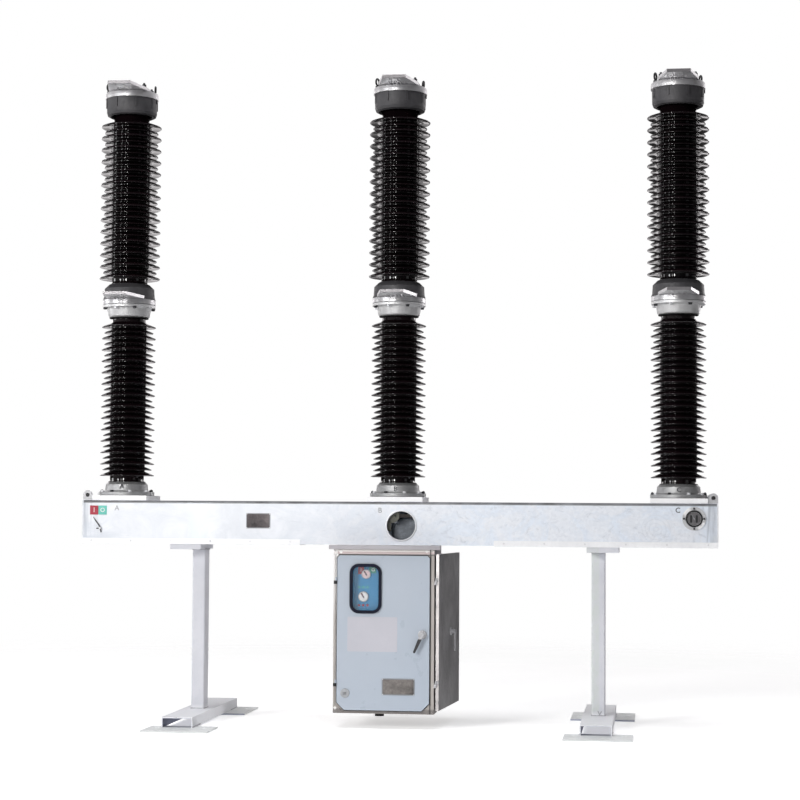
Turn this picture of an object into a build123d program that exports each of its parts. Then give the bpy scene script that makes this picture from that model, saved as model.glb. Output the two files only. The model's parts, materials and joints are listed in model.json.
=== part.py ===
from build123d import *
import math
import os

# Gas insulated breaker: three live-tank poles on one folded steel beam, with two legs and a drive cabinet.
# Millimetres. X runs along the beam, Y to the back, Z up. The origin is on the ground under the middle pole.

# ---- driving sizes: poles along the beam
pole_spacing = 1700.0
pole_x = (-pole_spacing, 0.0, pole_spacing)

# ---- driving sizes: feet and legs
leg_x = 1222.0
leg_width = 82.0
leg_depth = 115.0
leg_wall = 5.0
foot_plate_width = 395.0
foot_plate_thickness = 10.0
foot_plate_end = 790.0
left_back_plate_end = 730.0
left_plate_shift = 28.0
right_plate_shift = 15.0
front_plate_depth = 290.0
back_plate_depth = 450.0
anchor_y = 615.0
anchor_hole_r = 14.0
anchor_spacing = 290.0
foot_channel_width = 186.0
foot_channel_height = 60.0
foot_channel_wall = 8.0
foot_channel_front = -590.0
foot_channel_back = 690.0
leg_top_plate_width = 190.0
leg_top_plate_depth = 350.0
leg_top_plate_thickness = 32.0
left_top_plate_shift = 60.0
right_top_plate_shift = 28.0

# ---- driving sizes: beam
beam_length = 3860.0
beam_depth = 360.0
beam_height = 260.0
beam_bottom = 1080.0
beam_wall = 8.0
beam_bend_r = 14.0
beam_lip = 40.0
sight_hole_x = 43.0
sight_hole_r = 87.0
sight_hole_rise = 117.0
tray_sheet = 4.0
tray_upstand = 30.0
tray_left_inner_x = -572.0
tray_right_inner_x = 602.0
lug_x = 1902.0
lug_r = 28.0
lug_hole_r = 12.5
lug_thickness = 12.0
lug_rise = 33.0

# ---- driving sizes: poles
pad_width = 340.0
pad_depth = 350.0
pad_thickness = 30.0
base_height = 84.0
base_flange_r = 164.0
base_flange_thickness = 22.0
base_foot_r = 133.0
base_top_r = 129.0
base_shoulder = 15.0
base_ear_width = 46.0
base_ear_reach = 8.0
support_length = 1024.0
support_barrel_r = 109.5
support_large_r = 167.0
support_small_r = 152.0
support_first_shed = 41.0
support_pitch = 71.0
mid_height = 78.0
mid_neck_r = 135.0
mid_neck_foot_r = 127.0
mid_flange_r = 163.0
mid_flange_thickness = 17.0
terminal_ring_thickness = 33.0
tongue_foot_y = 84.0
interrupter_foot_height = 95.0
interrupter_foot_r = 163.0
interrupter_waist_r = 157.0
interrupter_waist_height = 18.0
interrupter_shoulder_r = 154.0
interrupter_shoulder_height = 68.0
interrupter_collar_r = 126.0
interrupter_length = 1083.0
interrupter_barrel_r = 116.0
interrupter_large_r = 187.0
interrupter_small_r = 167.0
interrupter_first_shed = 37.5
interrupter_pitch = 73.3
shed_pairs = 14
shed_rise = 31.0
shed_tip = 6.0
barrel_neck = 5.0
barrel_flare = 4.0
barrel_flare_height = 14.0
head_height = 110.0
head_skirt_depth = 26.0
head_skirt_gap = 11.0
head_round = 23.0
head_bottom_r = 156.0
head_top_r = 158.0
head_rib_count = 8
head_rib_width = 12.0
head_rib_proud = 6.0
head_rib_height = 60.0
plug_r = 11.0
plug_reach = 163.0
plug_drop = 14.0
cap_height = 41.0
cap_bottom_r = 165.0
cap_top_r = 163.0
cover_r = 92.0
cover_height = 14.0
upper_reach = 325.0
lower_reach = 362.0
tongue_tip_width = 140.0
tongue_root_width = 244.0
tongue_root_y = 107.0
upper_plate_back = 95.0
tongue_thickness = 18.0
tongue_rib_count = 5
tongue_rib_width = 6.0
tongue_rib_height = 5.0
terminal_hole_r = 7.0
terminal_hole_spacing = 50.0
terminal_hole_inset = 32.0
eye_ring_r = 26.0
eye_hole_r = 15.5
eye_thickness = 11.0
eye_collar_r = 13.0
eye_collar_height = 8.0
eye_offset = 145.0
eye_angle = 20.0
eye_twist = 19.0

# ---- driving sizes: gas gauge on the beam's front
gauge_x = 1788.0
gauge_rise = 170.0
gauge_ring_r = 69.5
gauge_ring_thickness = 8.0
gauge_body_r = 49.0
gauge_body_depth = 26.0
gauge_bezel = 9.0
gauge_dial_depth = 5.0

# ---- driving sizes: drive cabinet
cabinet_centre_x = -36.0
cabinet_width = 602.0
cabinet_depth = 700.0
cabinet_bottom = 88.0
cabinet_top = 1056.0
cabinet_roof_top = 1022.0
cabinet_wall = 4.0
frame_left = 17.0
frame_right = 23.0
frame_bottom = 14.0
frame_top = 31.0
frame_depth = 25.0
seal_lip = 12.0
seal_thickness = 3.0
side_frame_width = 24.0
side_frame_border = 28.0
flange_overhang = 26.0
flange_right_overhang = 38.0
flange_bar_depth = 50.0
collar_right_inset = 33.0
frame_step_top = 15.0
frame_step_side = 7.0
frame_step_depth = 6.0

# ---- driving sizes: doors
door_gap = 5.0
door_depth = 25.0
door_sheet = 3.0
door_proud = 2.0
door_clip_bottom = 45.0
door_clip_top = 14.0
window_width = 191.0
window_height = 294.0
window_corner_r = 55.0
window_rim = 17.0
window_rim_thickness = 9.0
window_centre_x = -144.5
window_centre_z = 824.0
glass_thickness = 4.0
side_door_gap = 9.0
side_door_depth = 18.0
side_door_bottom = 109.0
side_door_top = 1030.0
side_door_ajar = 4.5
hinge_r = 5.0
hinge_pin_r = 3.0
hinge_length = 40.0
pin_clearance = 0.05
seat_clearance = 0.3
hinge_low_z = 245.0
hinge_high_z = 850.0
handle_x = 196.0
handle_z = 556.0
handle_length = 110.0
handle_turn = 24.0
handle_base_r = 23.0
handle_base_height = 10.0
handle_standoff = 22.0
handle_lever_thickness = 9.0
handle_spindle_r = 6.0
side_handle_inset = 300.0
vent_cap_r = 27.5
vent_cap_x = -264.0
vent_cap_z = 206.0
vent_cap_height = 7.0
gland_x = -65.0
gland_y = -290.0
gland_r = 27.0
gland_drop = 18.0

# ---- driving sizes: panel behind the window
panel_setback = 6.0
panel_thickness = 3.0
panel_width = 250.0
panel_height = 350.0
panel_stay = 20.0
dial_small_r = 28.0
dial_large_r = 31.0
dial_height = 10.0

# ---- levels worked out from the sizes above
foot_channel_top = foot_plate_thickness + foot_channel_height
tray_bottom = beam_bottom - tray_sheet
leg_top = tray_bottom - leg_top_plate_thickness
beam_top = beam_bottom + beam_height
beam_front = -beam_depth / 2
pad_top = beam_top + pad_thickness
base_top = pad_top + base_height
support_top = base_top + support_length
mid_top = support_top + mid_height
ring_top = mid_top + terminal_ring_thickness
interrupter_bottom = ring_top + interrupter_foot_height
interrupter_top = interrupter_bottom + interrupter_length
head_bottom = interrupter_top - head_skirt_depth
head_top = head_bottom + head_height
cap_top = head_top + cap_height
upper_pad = cap_top + tongue_thickness
lower_pad = ring_top + tongue_thickness

cabinet_left = cabinet_centre_x - cabinet_width / 2
cabinet_right = cabinet_centre_x + cabinet_width / 2
cabinet_front = -cabinet_depth / 2
cabinet_back = cabinet_depth / 2
opening_left = cabinet_left + frame_left
opening_right = cabinet_right - frame_right
opening_bottom = cabinet_bottom + frame_bottom
opening_top = cabinet_top - frame_top
door_left = opening_left + door_gap
door_right = opening_right - door_gap
door_bottom = opening_bottom + door_gap
door_top = opening_top - door_gap
door_front = cabinet_front - door_proud
door_back = door_front + door_depth
seal_front = door_back + door_gap
frame_back = seal_front + seal_thickness
front_axis_x = opening_left - 0.5
front_axis_y = door_front - hinge_r

side_inner_x = cabinet_right + side_door_gap
side_outer_x = side_inner_x + side_door_depth
side_axis_x = side_inner_x + 2.0
side_axis_y = cabinet_front - 2.0
side_front_y = side_axis_y + hinge_r + 4.0
side_back_y = cabinet_back

os.makedirs("parts", exist_ok=True)


def save(name, *solids):
    """Writes the solids of one node."""
    flat = []
    for item in solids:
        flat.extend(item.solids())
    shape = flat[0] if len(flat) == 1 else Compound(children=flat)
    export_step(shape, "parts/" + name + ".step")


def block(x0, x1, y0, y1, z0, z1):
    """A box between two corners."""
    centre = Pos((x0 + x1) / 2, (y0 + y1) / 2, (z0 + z1) / 2)
    return centre * Box(abs(x1 - x0), abs(y1 - y0), abs(z1 - z0))


def drum(r, z0, z1, x=0.0, y=0.0):
    """An upright cylinder between two levels."""
    return Pos(x, y, (z0 + z1) / 2) * Cylinder(r, z1 - z0)


def rod_y(r, y0, y1, x, z):
    """A cylinder along Y."""
    return Pos(x, (y0 + y1) / 2, z) * Rot(90, 0, 0) * Cylinder(r, y1 - y0)


def rod_x(r, x0, x1, y, z):
    """A cylinder along X."""
    return Pos((x0 + x1) / 2, y, z) * Rot(0, 90, 0) * Cylinder(r, x1 - x0)


def turned(points):
    """A solid of revolution about Z from a half profile of (radius, level) points."""
    outline = make_face(Plane.XZ * Polyline(*points, close=True))
    return revolve(outline, Axis.Z)


def at_poles(solid):
    """The same piece on each of the three poles."""
    return [Pos(x, 0, 0) * solid for x in pole_x]


def plate_xz(points, y0, y1):
    """A plate cut to an outline of (x, z) points, between two depths."""
    outline = make_face(Plane.XZ * Polyline(*points, close=True))
    return Pos(0, y1, 0) * extrude(outline, y1 - y0)


def plate_xy(points, z0, z1):
    """A plate cut to an outline of (x, y) points, between two levels."""
    outline = make_face(Polyline(*points, close=True))
    return Pos(0, 0, z0) * extrude(outline, z1 - z0)


def rounded_plate(width, height, corner, x, z, y0, y1):
    """An upright plate with round corners, between two depths."""
    outline = Plane.XZ * RectangleRounded(width, height, corner)
    return Pos(x, y1, z) * extrude(outline, y1 - y0)


# ---- feet: anchor plates under the two ends of an upturned channel
def foot_plate(x, y0, y1, hole_y):
    plate = block(x - foot_plate_width / 2, x + foot_plate_width / 2, y0, y1, 0, foot_plate_thickness)
    for side in (-1, 1):
        plate -= drum(anchor_hole_r, -1, foot_plate_thickness + 1, x + side * anchor_spacing / 2, hole_y)
    return plate


def foot_channel(x):
    half = foot_channel_width / 2
    front = foot_channel_front
    back = foot_channel_back
    channel = block(x - half, x + half, front, back, foot_plate_thickness, foot_channel_top)
    inner = half - foot_channel_wall
    channel -= block(
        x - inner,
        x + inner,
        front - 1,
        back + 1,
        foot_plate_thickness - 1,
        foot_channel_top - foot_channel_wall,
    )
    return channel


foot_plates = []
for plate_x, back_end in (
    (left_plate_shift - leg_x, left_back_plate_end),
    (right_plate_shift + leg_x, foot_plate_end),
):
    foot_plates.append(foot_plate(plate_x, -foot_plate_end, front_plate_depth - foot_plate_end, -anchor_y))
    foot_plates.append(foot_plate(plate_x, back_end - back_plate_depth, back_end, anchor_y))
save("foot_plates", *foot_plates)
save("foot_channel_left", foot_channel(-leg_x))
save("foot_channel_right", foot_channel(leg_x))


# ---- legs: rectangular tubes with a head plate under the beam
def leg(x):
    outer = RectangleRounded(leg_width, leg_depth, leg_wall * 2)
    inner = RectangleRounded(leg_width - 2 * leg_wall, leg_depth - 2 * leg_wall, leg_wall)
    return Pos(x, 0, foot_channel_top) * extrude(outer - inner, leg_top - foot_channel_top)


save("leg_left", leg(-leg_x))
save("leg_right", leg(leg_x))


def leg_top_plate(x):
    half = leg_top_plate_width / 2
    depth = leg_top_plate_depth / 2
    return block(x - half, x + half, -depth, depth, leg_top, tray_bottom)


save(
    "leg_top_plates",
    leg_top_plate(-leg_x - left_top_plate_shift),
    leg_top_plate(leg_x + right_top_plate_shift),
)

# ---- beam: a folded channel, open below between its lips, closed by two end plates
channel_half = beam_length / 2 - beam_wall
beam_outer = Pos(0, beam_height / 2, 0) * Rectangle(beam_depth, beam_height)
beam_outer = fillet(beam_outer.vertices().group_by(Axis.Y)[-1], beam_bend_r)
beam_hollow = Pos(0, beam_height / 2, 0) * Rectangle(beam_depth - 2 * beam_wall, beam_height - 2 * beam_wall)
beam_hollow = fillet(beam_hollow.vertices().group_by(Axis.Y)[-1], beam_bend_r - beam_wall)
beam_mouth = Pos(0, beam_wall / 2, 0) * Rectangle(beam_depth - 2 * beam_lip, beam_wall)
beam_section = Plane.YZ * (beam_outer - beam_hollow - beam_mouth)
beam_channel = Pos(-channel_half, 0, beam_bottom) * extrude(beam_section, 2 * channel_half)
sight_hole_z = beam_bottom + sight_hole_rise
beam_channel -= rod_y(sight_hole_r, beam_front - 10, beam_front + beam_wall + 10, sight_hole_x, sight_hole_z)
gauge_z = beam_bottom + gauge_rise
beam_channel -= rod_y(
    gauge_body_r + 1, beam_front - 10, beam_front + beam_wall + 10, gauge_x, gauge_z
)
save("beam_channel", beam_channel)
save(
    "beam_end_plates",
    *[
        block(
            side * channel_half,
            side * beam_length / 2,
            beam_front,
            -beam_front,
            beam_bottom,
            beam_top,
        )
        for side in (-1, 1)
    ],
)


# ---- bottom covers: trays with an upstand over the beam's lower edges
def bottom_cover(x0, x1):
    sheet = block(x0, x1, beam_front - tray_sheet, -beam_front + tray_sheet, tray_bottom, beam_bottom)
    for side in (-1, 1):
        sheet += block(
            x0,
            x1,
            side * (beam_depth / 2),
            side * (beam_depth / 2 + tray_sheet),
            beam_bottom,
            beam_bottom + tray_upstand,
        )
    return sheet


save("bottom_cover_left", bottom_cover(-beam_length / 2, tray_left_inner_x))
save("bottom_cover_right", bottom_cover(tray_right_inner_x, beam_length / 2))


# ---- lifting lugs: eye plates at the beam's four upper corners
def lifting_lug(x, y):
    centre_z = beam_top + lug_rise
    lug = rod_y(lug_r, y - lug_thickness / 2, y + lug_thickness / 2, x, centre_z)
    lug += block(x - lug_r, x + lug_r, y - lug_thickness / 2, y + lug_thickness / 2, beam_top, centre_z)
    return lug - rod_y(lug_hole_r, y - lug_thickness, y + lug_thickness, x, centre_z)


lug_y = beam_depth / 2 - beam_bend_r - lug_thickness / 2
save("lifting_lugs", *[lifting_lug(sx * lug_x, sy * lug_y) for sx in (-1, 1) for sy in (-1, 1)])

# ---- pole pads on the beam
pad = block(-pad_width / 2, pad_width / 2, -pad_depth / 2, pad_depth / 2, beam_top, pad_top)
save("pole_pads", *at_poles(pad))

# ---- base housings: cast drums on a round flange
base_housing = turned(
    [
        (0, pad_top),
        (base_flange_r, pad_top),
        (base_flange_r, pad_top + base_flange_thickness),
        (base_foot_r + 8, pad_top + base_flange_thickness),
        (base_foot_r, pad_top + base_flange_thickness + 10),
        (base_top_r, base_top - base_shoulder),
        (base_top_r - base_shoulder, base_top),
        (0, base_top),
    ]
)
ear_half = base_ear_width / 2
for side in (-1, 1):
    base_housing += block(
        side * (base_flange_r - 20),
        side * (base_flange_r + base_ear_reach - 2),
        -ear_half,
        ear_half,
        pad_top,
        pad_top + base_flange_thickness,
    )
save("base_housings", *at_poles(base_housing))


# ---- porcelain insulators: a barrel with large and small sheds by turns
def insulator(bottom, top, barrel_r, large_r, small_r, first_shed, pitch):
    neck_r = barrel_r - barrel_neck
    points = [
        (0, bottom),
        (neck_r + barrel_flare, bottom),
        (neck_r + barrel_flare, bottom + 3),
        (neck_r, bottom + barrel_flare_height),
        (neck_r, bottom + first_shed - shed_tip / 2),
    ]
    for shed in range(2 * shed_pairs - 1):
        shed_r = small_r if shed % 2 else large_r
        under = bottom + first_shed - shed_tip / 2 + shed * pitch / 2
        if shed > 0:
            points.append((barrel_r, under))
        points.append((shed_r, under))
        points.append((shed_r, under + shed_tip))
        points.append((barrel_r, under + shed_rise))
    points.append((neck_r, under + shed_rise + 6))
    points.append((neck_r, top))
    points.append((0, top))
    return turned(points)


support_insulator = insulator(
    base_top,
    support_top,
    support_barrel_r,
    support_large_r,
    support_small_r,
    support_first_shed,
    support_pitch,
)
save("support_insulators", *at_poles(support_insulator))
interrupter_insulator = insulator(
    interrupter_bottom,
    interrupter_top,
    interrupter_barrel_r,
    interrupter_large_r,
    interrupter_small_r,
    interrupter_first_shed,
    interrupter_pitch,
)
save("interrupter_insulators", *at_poles(interrupter_insulator))

# ---- mid housings: the neck between the two insulators
mid_housing = turned(
    [
        (0, support_top),
        (mid_neck_foot_r - 7, support_top),
        (mid_neck_foot_r, support_top + 7),
        (mid_neck_r, mid_top - mid_flange_thickness - 8),
        (mid_neck_r + 6, mid_top - mid_flange_thickness),
        (mid_flange_r, mid_top - mid_flange_thickness),
        (mid_flange_r, mid_top - 2),
        (mid_flange_r - 12, mid_top),
        (0, mid_top),
    ]
)
save("mid_housings", *at_poles(mid_housing))


# ---- terminals: a ribbed tongue to the front, cast on top of a ring
def tongue_outline(reach, root_y, grow):
    half_tip = tongue_tip_width / 2 + grow
    half_root = tongue_root_width / 2 + grow
    return [
        (-half_tip, -reach),
        (half_tip, -reach),
        (half_root, -tongue_root_y),
        (half_root, -root_y),
        (-half_root, -root_y),
        (-half_root, -tongue_root_y),
    ]


def tongue(reach, root_y, level):
    """A tongue with its underside at the level, with stiffening ribs below it and four bolt holes."""
    plate = plate_xy(tongue_outline(reach, root_y, 0), level, level + tongue_thickness)
    rib_step = tongue_tip_width / (tongue_rib_count + 1)
    rib_front = -reach + 2 * terminal_hole_inset + terminal_hole_spacing
    for rib in range(tongue_rib_count):
        rib_x = (rib - (tongue_rib_count - 1) / 2) * rib_step
        plate += block(
            rib_x - tongue_rib_width / 2,
            rib_x + tongue_rib_width / 2,
            rib_front,
            -tongue_root_y,
            level - tongue_rib_height,
            level,
        )
    for sx in (-1, 1):
        for row in (0, 1):
            plate -= drum(
                terminal_hole_r,
                level - 1,
                level + tongue_thickness + 1,
                sx * terminal_hole_spacing / 2,
                -reach + terminal_hole_inset + row * terminal_hole_spacing,
            )
    return plate


lower_ring = turned(
    [
        (0, mid_top),
        (mid_flange_r - 12, mid_top),
        (mid_flange_r, mid_top + 2),
        (mid_flange_r, ring_top - 3),
        (mid_flange_r - 3, ring_top),
        (0, ring_top),
    ]
)
lower_terminal = lower_ring + tongue(lower_reach, tongue_foot_y, ring_top)
save("lower_terminals", *at_poles(lower_terminal))

interrupter_foot = turned(
    [
        (0, ring_top),
        (interrupter_foot_r, ring_top),
        (interrupter_waist_r, ring_top + interrupter_waist_height),
        (interrupter_shoulder_r, ring_top + interrupter_shoulder_height),
        (interrupter_collar_r, interrupter_bottom),
        (0, interrupter_bottom),
    ]
)
foot_slot = plate_xy(
    tongue_outline(lower_reach, tongue_foot_y - seat_clearance, seat_clearance),
    ring_top - 1,
    lower_pad + seat_clearance,
)
interrupter_foot -= foot_slot
save("interrupter_feet", *at_poles(interrupter_foot))

# ---- heads: a dark skirted housing over the insulator's end, then a light cap with the upper terminal
socket_r = interrupter_barrel_r + head_skirt_gap
head_housing = turned(
    [
        (0, interrupter_top),
        (socket_r, interrupter_top),
        (socket_r, head_bottom + 8),
        (socket_r + 6, head_bottom),
        (head_bottom_r - head_round * 0.85, head_bottom),
        (head_bottom_r - head_round * 0.25, head_bottom + head_round * 0.3),
        (head_bottom_r, head_bottom + head_round),
        (head_top_r, head_top),
        (0, head_top),
    ]
)
rib_foot = head_top - head_rib_height
for rib in range(head_rib_count):
    rib_angle = 360 * (rib + 0.5) / head_rib_count
    head_housing += Rot(0, 0, rib_angle) * block(
        head_bottom_r - 8,
        head_top_r + head_rib_proud - 2,
        -head_rib_width / 2,
        head_rib_width / 2,
        rib_foot,
        head_top,
    )
head_housing += rod_x(plug_r, head_bottom_r - 8, plug_reach, 0, head_top - plug_drop)
save("head_housings", *at_poles(head_housing))

cap_ring = turned(
    [
        (0, head_top),
        (cap_bottom_r, head_top),
        (cap_bottom_r, head_top + 16),
        (cap_top_r, cap_top - 7),
        (cap_top_r - 7, cap_top),
        (0, cap_top),
    ]
)
head_cap = cap_ring + tongue(upper_reach, -upper_plate_back, cap_top)
save("head_caps", *at_poles(head_cap))
cover = drum(cover_r, upper_pad, upper_pad + cover_height)
save("head_covers", *at_poles(chamfer(cover.edges().group_by(Axis.Z)[-1], 4)))


def lifting_eye(x, y, twist):
    half = eye_thickness / 2
    ring = turned(
        [
            (eye_hole_r, -half + 3),
            (eye_hole_r + 3, -half),
            (eye_ring_r - 3, -half),
            (eye_ring_r, -half + 3),
            (eye_ring_r, half - 3),
            (eye_ring_r - 3, half),
            (eye_hole_r + 3, half),
            (eye_hole_r, half - 3),
        ]
    )
    ring = Pos(0, 0, eye_collar_height + eye_ring_r - 2) * Rot(0, 90, 0) * Rot(0, 0, 37) * ring
    return Pos(x, y, cap_top) * Rot(0, 0, twist) * (ring + drum(eye_collar_r, 0, eye_collar_height))


eye_x = eye_offset * math.cos(math.radians(eye_angle))
eye_y = eye_offset * math.sin(math.radians(eye_angle))
lifting_eyes = [
    Pos(x, 0, 0) * lifting_eye(side * eye_x, side * eye_y, side * eye_twist)
    for x in pole_x
    for side in (-1, 1)
]
save("head_lifting_eyes", *lifting_eyes)

# ---- gas density gauge through the beam's front
gauge = rod_y(gauge_ring_r, beam_front - gauge_ring_thickness, beam_front, gauge_x, gauge_z)
gauge += rod_y(
    gauge_body_r,
    beam_front - gauge_ring_thickness - 4,
    beam_front + gauge_body_depth,
    gauge_x,
    gauge_z,
)
gauge_front = beam_front - gauge_ring_thickness - 4
gauge -= rod_y(gauge_body_r - gauge_bezel, gauge_front - 1, gauge_front + gauge_dial_depth, gauge_x, gauge_z)
save("gas_gauge", gauge)

# ---- drive inside the beam: a round crank case under each pole, its levers and the flat link bar
crank_ceiling = beam_top - beam_wall
crank_neck_r = 60.0
crank_flange_r = 116.0
crank_flange_thickness = 16.0
crank_case_r = 100.0
crank_case_x = 76.0
crank_case_z = crank_ceiling - 180.0
crank_case_foot = beam_bottom + 14.0
crank_case_front = -96.0
crank_case_back = 70.0
crank_case_round = 18.0
crank_shaft_r = 17.0
crank_shaft_x = 2.0
lever_front = -154.0
lever_thickness = 8.0
link_z = crank_ceiling - 76.0
link_bar_height = 20.0
link_bar_thickness = 12.0
link_pin_r = 6.0
link_pin_x = 7.0
crank_neck_foot = crank_case_z + 20
crank_shaft_z = link_z - link_bar_height / 2 - crank_shaft_r - 2
crank_housing = drum(crank_flange_r, crank_ceiling - crank_flange_thickness, crank_ceiling)
crank_housing += drum(crank_neck_r, crank_neck_foot, crank_ceiling - crank_flange_thickness)
crank_case = rod_y(crank_case_r, crank_case_front, crank_case_back, crank_case_x, crank_case_z)
crank_case = fillet(crank_case.faces().sort_by(Axis.Y)[0].edges(), crank_case_round)
crank_case &= block(-200, 200, crank_case_front - 1, crank_case_back + 1, crank_case_foot, crank_ceiling)
crank_housing += crank_case
crank_housing += rod_y(crank_shaft_r, lever_front, 0, crank_shaft_x, crank_shaft_z)
save("crank_housings", *at_poles(crank_housing))

main_lever = plate_xz(
    [
        (-12, link_z + 24),
        (-30, link_z + 10),
        (-30, link_z - 26),
        (-12, link_z - 44),
        (16, link_z - 32),
        (30, link_z - 14),
        (30, link_z + 24),
    ],
    lever_front - lever_thickness,
    lever_front,
)
main_lever -= rod_y(link_pin_r, lever_front - lever_thickness - 1, lever_front + 1, link_pin_x, link_z)
drop_lever = plate_xz(
    [
        (-44, link_z - 16),
        (-52, link_z - 50),
        (-46, link_z - 92),
        (-22, link_z - 92),
        (-18, link_z - 20),
    ],
    lever_front,
    lever_front + lever_thickness,
)
save("crank_levers", *at_poles(main_lever + drop_lever))
link_rod = block(
    -pole_spacing - 20,
    pole_spacing + 30,
    lever_front,
    lever_front + link_bar_thickness,
    link_z - link_bar_height / 2,
    link_z + link_bar_height / 2,
)
for x in pole_x:
    link_rod -= rod_y(link_pin_r, lever_front - 1, lever_front + link_bar_thickness + 1, x + link_pin_x, link_z)
save("link_rod", link_rod)

# ---- cabinet shell: the front frame stands a little above the roof, up to the flange
save(
    "cabinet_left_wall",
    block(
        cabinet_left,
        cabinet_left + cabinet_wall,
        frame_back,
        cabinet_back - cabinet_wall,
        cabinet_bottom + cabinet_wall,
        cabinet_roof_top - cabinet_wall,
    ),
)
save(
    "cabinet_rear_wall",
    block(
        cabinet_left,
        cabinet_right - side_frame_width,
        cabinet_back - cabinet_wall,
        cabinet_back,
        cabinet_bottom + cabinet_wall,
        cabinet_roof_top - cabinet_wall,
    ),
)
side_frame_inner = cabinet_right - side_frame_width
cabinet_floor = block(
    cabinet_left, side_frame_inner, frame_back, cabinet_back, cabinet_bottom, cabinet_bottom + cabinet_wall
)
save("cabinet_floor", cabinet_floor)
cabinet_roof = block(
    cabinet_left,
    side_frame_inner,
    frame_back,
    cabinet_back,
    cabinet_roof_top - cabinet_wall,
    cabinet_roof_top,
)
save("cabinet_roof", cabinet_roof)

# ---- cabinet flange: a bar over the front frame, and a closed collar from the roof to the beam
cabinet_flange = block(
    cabinet_left - flange_overhang,
    cabinet_right + flange_right_overhang,
    cabinet_front - flange_overhang,
    cabinet_front - flange_overhang + flange_bar_depth,
    cabinet_top,
    beam_bottom,
)
collar_right = cabinet_right - collar_right_inset
cabinet_flange += block(cabinet_left, collar_right, frame_back, cabinet_back, cabinet_roof_top, beam_bottom)
cabinet_flange += block(
    cabinet_left, collar_right, frame_back - 20, frame_back, cabinet_top, beam_bottom
)
save("cabinet_flange", cabinet_flange)


def clipped(x0, x1, z0, z1, low, high):
    """An upright rectangle's outline with its corners clipped, the lower ones by low and the upper by high."""
    return [
        (x0 + low, z0),
        (x1 - low, z0),
        (x1, z0 + low),
        (x1, z1 - high),
        (x1 - high, z1),
        (x0 + high, z1),
        (x0, z1 - high),
        (x0, z0 + low),
    ]


gusset = door_gap * (2 - math.sqrt(2))
front_frame = block(
    cabinet_left, cabinet_right, cabinet_front, frame_back, cabinet_bottom, cabinet_top
)
front_frame -= plate_xz(
    clipped(
        opening_left,
        opening_right,
        opening_bottom,
        opening_top,
        door_clip_bottom + gusset,
        door_clip_top + gusset,
    ),
    cabinet_front - 1,
    seal_front,
)
front_frame -= plate_xz(
    clipped(
        opening_left - frame_step_side,
        opening_right + frame_step_side,
        opening_bottom - frame_step_side,
        opening_top + frame_step_top,
        door_clip_bottom + gusset,
        door_clip_top + gusset,
    ),
    cabinet_front - 1,
    cabinet_front + frame_step_depth,
)
front_frame -= block(
    opening_left + seal_lip,
    opening_right - seal_lip,
    seal_front - 1,
    frame_back + 1,
    opening_bottom + seal_lip,
    opening_top - seal_lip,
)
save("cabinet_front_frame", front_frame)

side_frame = block(
    side_frame_inner, cabinet_right, frame_back, cabinet_back, cabinet_bottom, cabinet_roof_top
)
side_frame -= block(
    side_frame_inner - 1,
    cabinet_right + 1,
    frame_back + side_frame_border,
    cabinet_back - side_frame_border,
    cabinet_bottom + side_frame_border,
    cabinet_roof_top - side_frame_border,
)
save("cabinet_side_frame", side_frame)

# ---- front door: a folded pan with a framed window
window_inner_r = window_corner_r - window_rim
front_door = plate_xz(
    clipped(door_left, door_right, door_bottom, door_top, door_clip_bottom, door_clip_top),
    door_front,
    door_back,
)
front_door -= plate_xz(
    clipped(
        door_left + door_sheet,
        door_right - door_sheet,
        door_bottom + door_sheet,
        door_top - door_sheet,
        door_clip_bottom,
        door_clip_top,
    ),
    door_front + door_sheet,
    door_back + 1,
)
front_door -= rounded_plate(
    window_width - 2 * window_rim,
    window_height - 2 * window_rim,
    window_inner_r,
    window_centre_x,
    window_centre_z,
    door_front - 1,
    door_back,
)
save("front_door", front_door)
window_rim_solid = rounded_plate(
    window_width,
    window_height,
    window_corner_r,
    window_centre_x,
    window_centre_z,
    door_front - window_rim_thickness,
    door_front,
)
window_rim_solid -= rounded_plate(
    window_width - 2 * window_rim,
    window_height - 2 * window_rim,
    window_inner_r,
    window_centre_x,
    window_centre_z,
    door_front - window_rim_thickness - 1,
    door_front + 1,
)
save("window_rim", window_rim_solid)
window_glass = rounded_plate(
    window_width - 2 * window_rim,
    window_height - 2 * window_rim,
    window_inner_r,
    window_centre_x,
    window_centre_z,
    door_front - glass_thickness,
    door_front,
)
save("window_glass", window_glass)
save(
    "vent_cap",
    chamfer(
        rod_y(vent_cap_r, door_front - vent_cap_height, door_front, vent_cap_x, vent_cap_z)
        .faces()
        .sort_by(Axis.Y)[0]
        .edges(),
        3,
    ),
)


# ---- hinges: the lower barrel and pin stand on the frame, the upper barrel is on the door
def hinge_barrels(x, y, z):
    half = hinge_length / 2
    fixed = drum(hinge_r, z, z + half - seat_clearance / 2, x, y)
    fixed += drum(hinge_pin_r, z, z + hinge_length, x, y)
    moving = drum(hinge_r, z + half + seat_clearance / 2, z + hinge_length, x, y)
    moving -= drum(hinge_pin_r + pin_clearance, z, z + hinge_length + 1, x, y)
    return fixed, moving


def front_hinge(z):
    low, high = hinge_barrels(front_axis_x, front_axis_y, z)
    half = hinge_length / 2
    low_top = z + half - seat_clearance / 2
    high_base = z + half + seat_clearance / 2
    low += block(front_axis_x - hinge_r, front_axis_x, front_axis_y, cabinet_front, z, low_top)
    low += block(
        cabinet_left + 1, front_axis_x, cabinet_front - door_proud, cabinet_front, z, low_top
    )
    web = block(front_axis_x, front_axis_x + hinge_r, front_axis_y, door_front, high_base, z + hinge_length)
    web += block(
        front_axis_x, front_axis_x + 20, door_front - 2, door_front, high_base, z + hinge_length
    )
    web -= drum(hinge_pin_r + pin_clearance, z, z + hinge_length + 1, front_axis_x, front_axis_y)
    return low, high + web


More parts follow.
